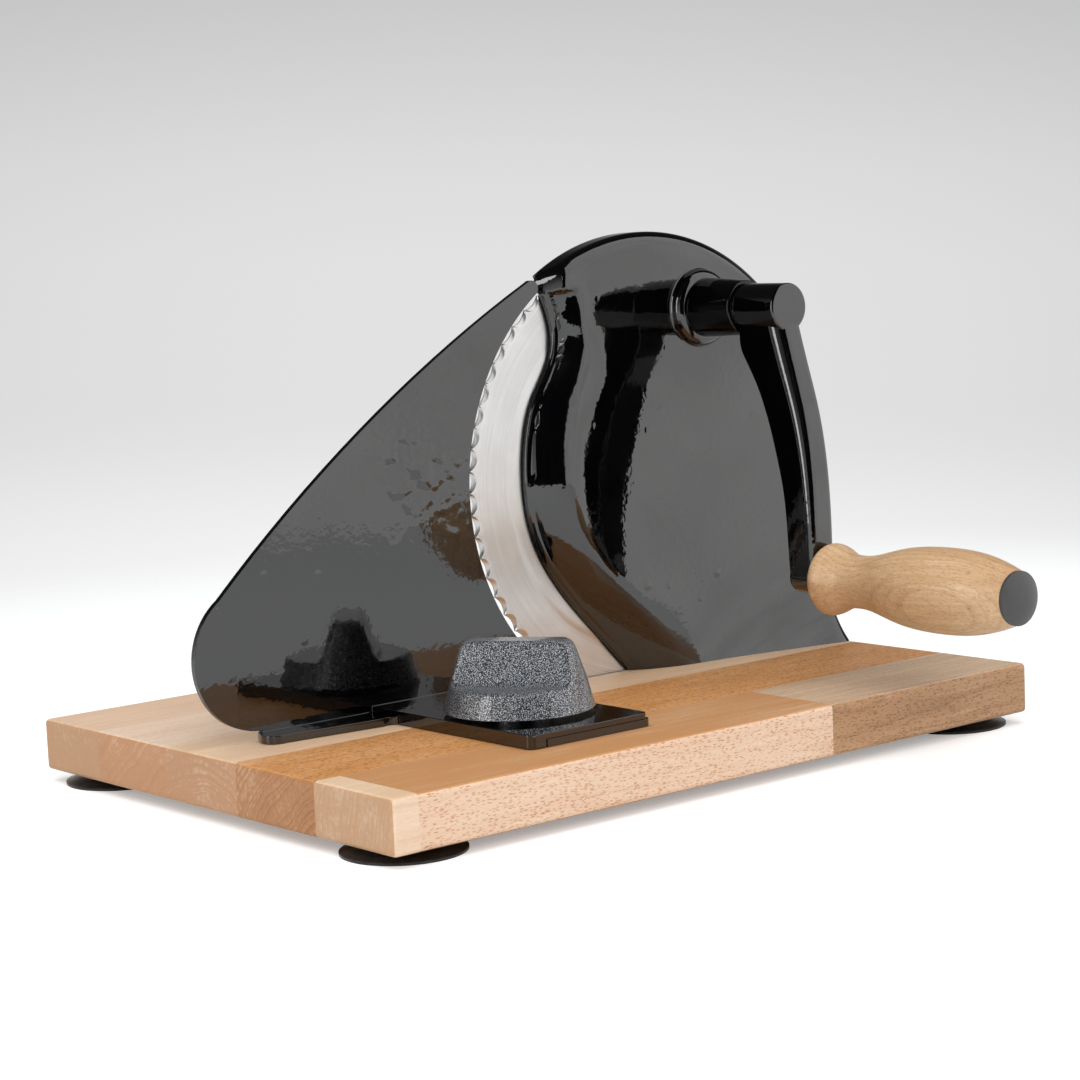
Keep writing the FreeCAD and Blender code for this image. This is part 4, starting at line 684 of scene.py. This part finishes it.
grip_low, grip_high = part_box("grip_wood")
FROM_PITH = (0.0, 40.0, -22.0)
grip_finish, t, shader = new_finish("lacquered beech grip")
place = place_in_mm(t, (grip_low + grip_high) / 2)
turned_place = put(t, "ShaderNodeMapping", {"Vector": place, "Rotation": (0.0, 0.05, math.radians(-90)),
                                            "Location": FROM_PITH}).outputs[0]
beech = place_group(t, beech_group, {"Place": turned_place, "Seed": 5.0, "Wood": rgb(199, 160, 117),
                                     "Fleck": rgb(140, 92, 50), "Flecks": 0.45, "Lines": 0.75})
t.links.new(beech["Color"], shader.inputs["Base Color"])
t.links.new(beech["Dull"], shader.inputs["Roughness"])
shader.inputs["Coat Weight"].default_value = 0.25
shader.inputs["Coat Roughness"].default_value = 0.18
raise_by(t, beech["Height"], 0.00004, shader)
dress(grip_finish, "grip_wood")

cap_finish, t, shader = new_finish("dark grey cap")
place = place_in_mm(t)
grainy = noise(t, place, 2.2, 3, 0.6)
paint_between(t, grainy, 0.3, rgb(58, 58, 59), 0.7, rgb(74, 73, 73), shader)
t.links.new(between(t, grainy, 0.3, 0.7, 0.38, 0.5), shader.inputs["Roughness"])
raise_by(t, grainy, 0.00003, shader)
dress(cap_finish, "grip_cap")


# ================================================================ FENCE
# A casting in the same lacquer that the bread rests against: a tall plate beside the blade, a flange
# on the board and a foot that slides on the guide plate to set the thickness of the slice.


def copied(node, material, change):
    """A CAD part's mesh in the frame, welded, in a material, after a change to its bmesh."""
    mesh = nodes[node].data.copy()
    mesh.transform(nodes[node].matrix_world)
    work = bmesh.new()
    work.from_mesh(mesh)
    bmesh.ops.remove_doubles(work, verts=work.verts, dist=2e-6)
    change(work)
    work.to_mesh(mesh)
    work.free()
    mesh.materials.clear()
    mesh.materials.append(material)
    mesh.polygons.foreach_set("use_smooth", [True] * len(mesh.polygons))
    return mesh


def join_flats(work):
    bmesh.ops.dissolve_limit(work, angle_limit=math.radians(0.6), verts=work.verts, edges=work.edges)


def with_soft_edges(name, node, width, body):
    """A lacquered copy of a CAD part whose sharp edges and inner corners are rounded."""
    mesh = copied(node, fence_lacquer, join_flats)
    piece = bpy.data.objects.new(name, mesh)
    bpy.context.scene.collection.objects.link(piece)
    rounder = piece.modifiers.new("rounded edges", "BEVEL")
    rounder.width = width
    rounder.segments = 4
    rounder.limit_method = "ANGLE"
    rounder.angle_limit = math.radians(35)
    rounder.use_clamp_overlap = True
    flats = piece.modifiers.new("flat faces", "WEIGHTED_NORMAL")
    flats.keep_sharp = True
    baked = bpy.data.meshes.new_from_object(piece.evaluated_get(bpy.context.evaluated_depsgraph_get()))
    piece.modifiers.clear()
    piece.data = baked
    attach(piece, body)
    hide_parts(node)


with_soft_edges("bread_fence", "thickness_fence", 0.0009, "fence")
with_soft_edges("slide_plate", "guide_plate", 0.0007, "stand")


# ================================================================ KNOB
# A moulded wing knob in black and silver hammertone paint, with a brass insert, on a carriage bolt.

hammered, t, shader = new_finish("hammertone paint")
place = place_in_mm(t)
cells = put(t, "ShaderNodeTexVoronoi", {"Vector": place, "Scale": 2.3, "Randomness": 1.0})
blotches = noise(t, place, 2.0, 3, 0.65)
mixed = calc(t, "ADD", calc(t, "MULTIPLY", cells.outputs["Distance"], 0.6),
             calc(t, "MULTIPLY", blotches, 0.7))
t.links.new(steps(t, mixed, [(0.46, rgb(214, 218, 222)), (0.58, rgb(128, 131, 136)),
                             (0.70, rgb(22, 23, 26))], "LINEAR"), shader.inputs["Base Color"])
t.links.new(steps(t, mixed, [(0.48, (0.55, 0.55, 0.55, 1)), (0.66, (0.1, 0.1, 0.1, 1))], "LINEAR"),
            shader.inputs["Metallic"])
shader.inputs["Roughness"].default_value = 0.32
shader.inputs["Coat Weight"].default_value = 0.6
shader.inputs["Coat Roughness"].default_value = 0.08
raise_by(t, mixed, 0.0002, shader)

# the wing is longer and thinner at its top than a plain cone cut away would leave it
knob_low, knob_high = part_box("clamp_knob")
KNOB_AXIS = np.array([(knob_low.x + knob_high.x) / 2, (knob_low.y + knob_high.y) / 2])
KNOB_HIGH = 0.028
WING_ANGLE = math.radians(-53)
WING_ALONG = np.array([math.cos(WING_ANGLE), math.sin(WING_ANGLE)])
WING_ACROSS = np.array([-WING_ALONG[1], WING_ALONG[0]])
WING_LONGER, WING_THINNER, WING_THINNER_FROM = 0.10, 0.28, 0.48


def draw_out_wing(work):
    for vertex in work.verts:
        up = np.clip((vertex.co.z - knob_low.z) / KNOB_HIGH, 0, 1)
        out = np.array([vertex.co.x, vertex.co.y]) - KNOB_AXIS
        along = (out @ WING_ALONG) * (1 + WING_LONGER * up)
        near_top = np.clip((up - WING_THINNER_FROM) / (1 - WING_THINNER_FROM), 0, 1)
        across = (out @ WING_ACROSS) * (1 - WING_THINNER * near_top)
        vertex.co.x, vertex.co.y = KNOB_AXIS + along * WING_ALONG + across * WING_ACROSS


mesh = copied("clamp_knob", hammered, draw_out_wing)
mesh.set_sharp_from_angle(angle=math.radians(30))
knob = bpy.data.objects.new("wing_knob", mesh)
bpy.context.scene.collection.objects.link(knob)
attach(knob, "knob")
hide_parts("clamp_knob")


# ================================================================ STUDIO
# A white floor that runs out softly into a pale backdrop, soft light from above and from the left,
# and a black screen, a white one and a bright strip that only glossy surfaces see.

scene = bpy.context.scene
scene.view_settings.view_transform = "Standard"

world = bpy.data.worlds.new("studio")
scene.world = world
world.use_nodes = True
t = world.node_tree
t.nodes.clear()
toward = put(t, "ShaderNodeTexCoord").outputs["Generated"]


def share_of(direction):
    """How far a direction in the room is the given one."""
    return put(t, "ShaderNodeVectorMath", {0: toward, 1: direction}, operation="DOT_PRODUCT").outputs["Value"]


# up, leaning a little with the camera, and straight ahead of it
UP, AHEAD = (0.0342, -0.0283, 1.0), (0.638, 0.770, 0.0)
level = calc(t, "MULTIPLY_ADD", share_of(UP), 0.5, 0.5)

# the backdrop's grey at so many degrees above the floor's level
GREYS = ((-9.5, 255), (-8.0, 252), (-6.4, 242), (-5.0, 231), (-4.2, 227), (-1.0, 226), (1.1, 221),
         (4.8, 202), (14, 140), (30, 52), (80, 34))
backdrop = steps(t, level, [(0.5 + 0.5 * math.sin(math.radians(degrees)), rgb(value, value, value))
                            for degrees, value in GREYS], "LINEAR")
# brightest ahead of the camera and a tenth darker to its sides
beside = calc(t, "MAXIMUM", calc(t, "MULTIPLY_ADD", share_of(AHEAD), 3.0, -2.0), 0.9)
light_path = put(t, "ShaderNodeLightPath").outputs
seen = calc(t, "MAXIMUM", light_path["Is Camera Ray"],
            calc(t, "MAXIMUM", light_path["Is Glossy Ray"], light_path["Is Transmission Ray"]))
shown = put(t, "ShaderNodeBackground", {"Color": backdrop, "Strength": beside})
soft = put(t, "ShaderNodeBackground", {"Color": (0.95, 0.98, 1.0, 1), "Strength": 0.55})
both = put(t, "ShaderNodeMixShader", {0: seen, 1: soft.outputs[0], 2: shown.outputs[0]})
put(t, "ShaderNodeOutputWorld", {0: both.outputs[0]})

FLOOR_RADIUS = 3
FLOOR_SIDES = 96
floor_mesh = bpy.data.meshes.new("studio_floor")
ring = np.linspace(0, 2 * math.pi, FLOOR_SIDES, endpoint=False)
floor_mesh.from_pydata([(FLOOR_RADIUS * math.cos(a), FLOOR_RADIUS * math.sin(a), 0) for a in ring], [],
                       [tuple(range(FLOOR_SIDES))])
floor = bpy.data.objects.new("studio_floor", floor_mesh)
scene.collection.objects.link(floor)
paper, t, shader = new_finish("white paper")
from_middle = put(t, "ShaderNodeVectorMath", {0: put(t, "ShaderNodeTexCoord").outputs["Object"]},
                  operation="LENGTH").outputs["Value"]
shader.inputs["Base Color"].default_value = (0.86, 0.86, 0.86, 1)
shader.inputs["Roughness"].default_value = 0.9
shader.inputs["Specular IOR Level"].default_value = 0.0
# the camera sees the paper brighter than it is lit, most of all near the board
light_path = put(t, "ShaderNodeLightPath").outputs
near_board = between(t, from_middle, 0.40, 0.20, 0.15, 0.30)
brightness = calc(t, "MULTIPLY", light_path["Is Camera Ray"], near_board)
glow = put(t, "ShaderNodeEmission", {"Color": (1, 1, 1, 1), "Strength": brightness})
lit = put(t, "ShaderNodeAddShader", {0: shader.outputs[0], 1: glow.outputs[0]})
# and it sees the paper end sooner than reflections do
clear = put(t, "ShaderNodeBsdfTransparent")
far_for_gloss, far_for_camera = between(t, from_middle, 1.6, 2.6), between(t, from_middle, 0.45, 0.85)
ends = blend(t, light_path["Is Camera Ray"], far_for_gloss, far_for_camera)
fading = put(t, "ShaderNodeMixShader", {0: ends, 1: lit.outputs[0], 2: clear.outputs[0]})
t.links.new(fading.outputs[0], t.nodes["Material Output"].inputs[0])
floor_mesh.materials.append(paper)


def softbox(name, place, target, size, power):
    lamp = bpy.data.lights.new(name, "AREA")
    lamp.shape = "RECTANGLE"
    lamp.size, lamp.size_y = size
    lamp.energy = power
    holder = bpy.data.objects.new(name, lamp)
    holder.location = place
    holder.rotation_mode = "QUATERNION"
    holder.rotation_quaternion = (Vector(target) - Vector(place)).to_track_quat("-Z", "Y")
    scene.collection.objects.link(holder)
    return holder


softbox("light_above", (-0.2, -0.1, 1.6), (0, 0, 0), (2.0, 2.0), 21.5).visible_glossy = False
softbox("light_front", (-1.0, -1.5, 0.9), (0, 0, 0.05), (1.0, 0.8), 12.0)


def screen(name, cloth, path, low, high):
    """An upright screen along a path on the floor, which only glossy surfaces see."""
    points = [(x, y, h) for h in (low, high) for x, y in path]
    mesh = bpy.data.meshes.new(name)
    mesh.from_pydata(points, [], grid_faces(2, len(path)))
    mesh.materials.append(cloth)
    piece = bpy.data.objects.new(name, mesh)
    scene.collection.objects.link(piece)
    piece.visible_camera = piece.visible_diffuse = piece.visible_shadow = False
    piece.visible_transmission = piece.visible_volume_scatter = False


def bow(from_angle, to_angle, distance):
    """A path round the middle of the floor; angles go round from +X."""
    turns = np.radians(np.linspace(from_angle, to_angle, 24))
    return [(distance * math.cos(a), distance * math.sin(a)) for a in turns]


black_cloth, t, shader = new_finish("black cloth")
weave = noise(t, place_in_mm(t), 0.05, 2)
paint_between(t, weave, 0.3, (0.004, 0.004, 0.006, 1), 0.7, (0.010, 0.011, 0.014, 1), shader)
shader.inputs["Roughness"].default_value = 1.0
shader.inputs["Specular IOR Level"].default_value = 0.0
screen("black_screen", black_cloth, bow(222, 277, 0.84), -0.008, 1.2)

white_cloth, t, shader = new_finish("lit white cloth")
folds = noise(t, place_in_mm(t), 0.010, 3, 0.6)
shader.inputs["Base Color"].default_value = (0, 0, 0, 1)
shader.inputs["Emission Strength"].default_value = 1.0
t.links.new(steps(t, folds, [(0.3, (1.12, 1.10, 1.09, 1)), (0.7, (1.44, 1.41, 1.40, 1))], "LINEAR"),
            shader.inputs["Emission Color"])
screen("white_screen", white_cloth, [(0.14, -1.0), (0.28, -0.94), (0.37, -0.84), (0.436, -0.634),
                                     (0.485, -0.439), (0.53, -0.26), (0.58, -0.08)], 0.0, 3.0)

strip_cloth, t, shader = new_finish("bright strip")
shader.inputs["Base Color"].default_value = (0, 0, 0, 1)
shader.inputs["Emission Strength"].default_value = 4.8
uneven = noise(t, place_in_mm(t), 0.006, 2)
t.links.new(steps(t, uneven, [(0.3, (0.9, 0.9, 0.92, 1)), (0.7, (1, 1, 1, 1))], "LINEAR"),
            shader.inputs["Emission Color"])
screen("strip_light", strip_cloth, bow(166, 184, 1.0), -0.05, 0.8)

camera = bpy.data.objects.new("camera", bpy.data.cameras.new("camera"))
scene.collection.objects.link(camera)
scene.camera = camera
camera.data.sensor_width = 36.0
camera.data.lens = 88.77
camera.data.clip_start = 0.01
camera.data.clip_end = 50.0
CAMERA_ROLL = math.radians(-2.546)
eye = Vector(spot([(-728.71, -883.61, 205.04)])[0])
aim = Vector(spot([(85.89, 100.19, 50.0)])[0])
turn = (aim - eye).to_track_quat("-Z", "Y").to_matrix().to_4x4()
camera.matrix_world = Matrix.Translation(eye) @ turn @ Matrix.Rotation(CAMERA_ROLL, 4, "Z")
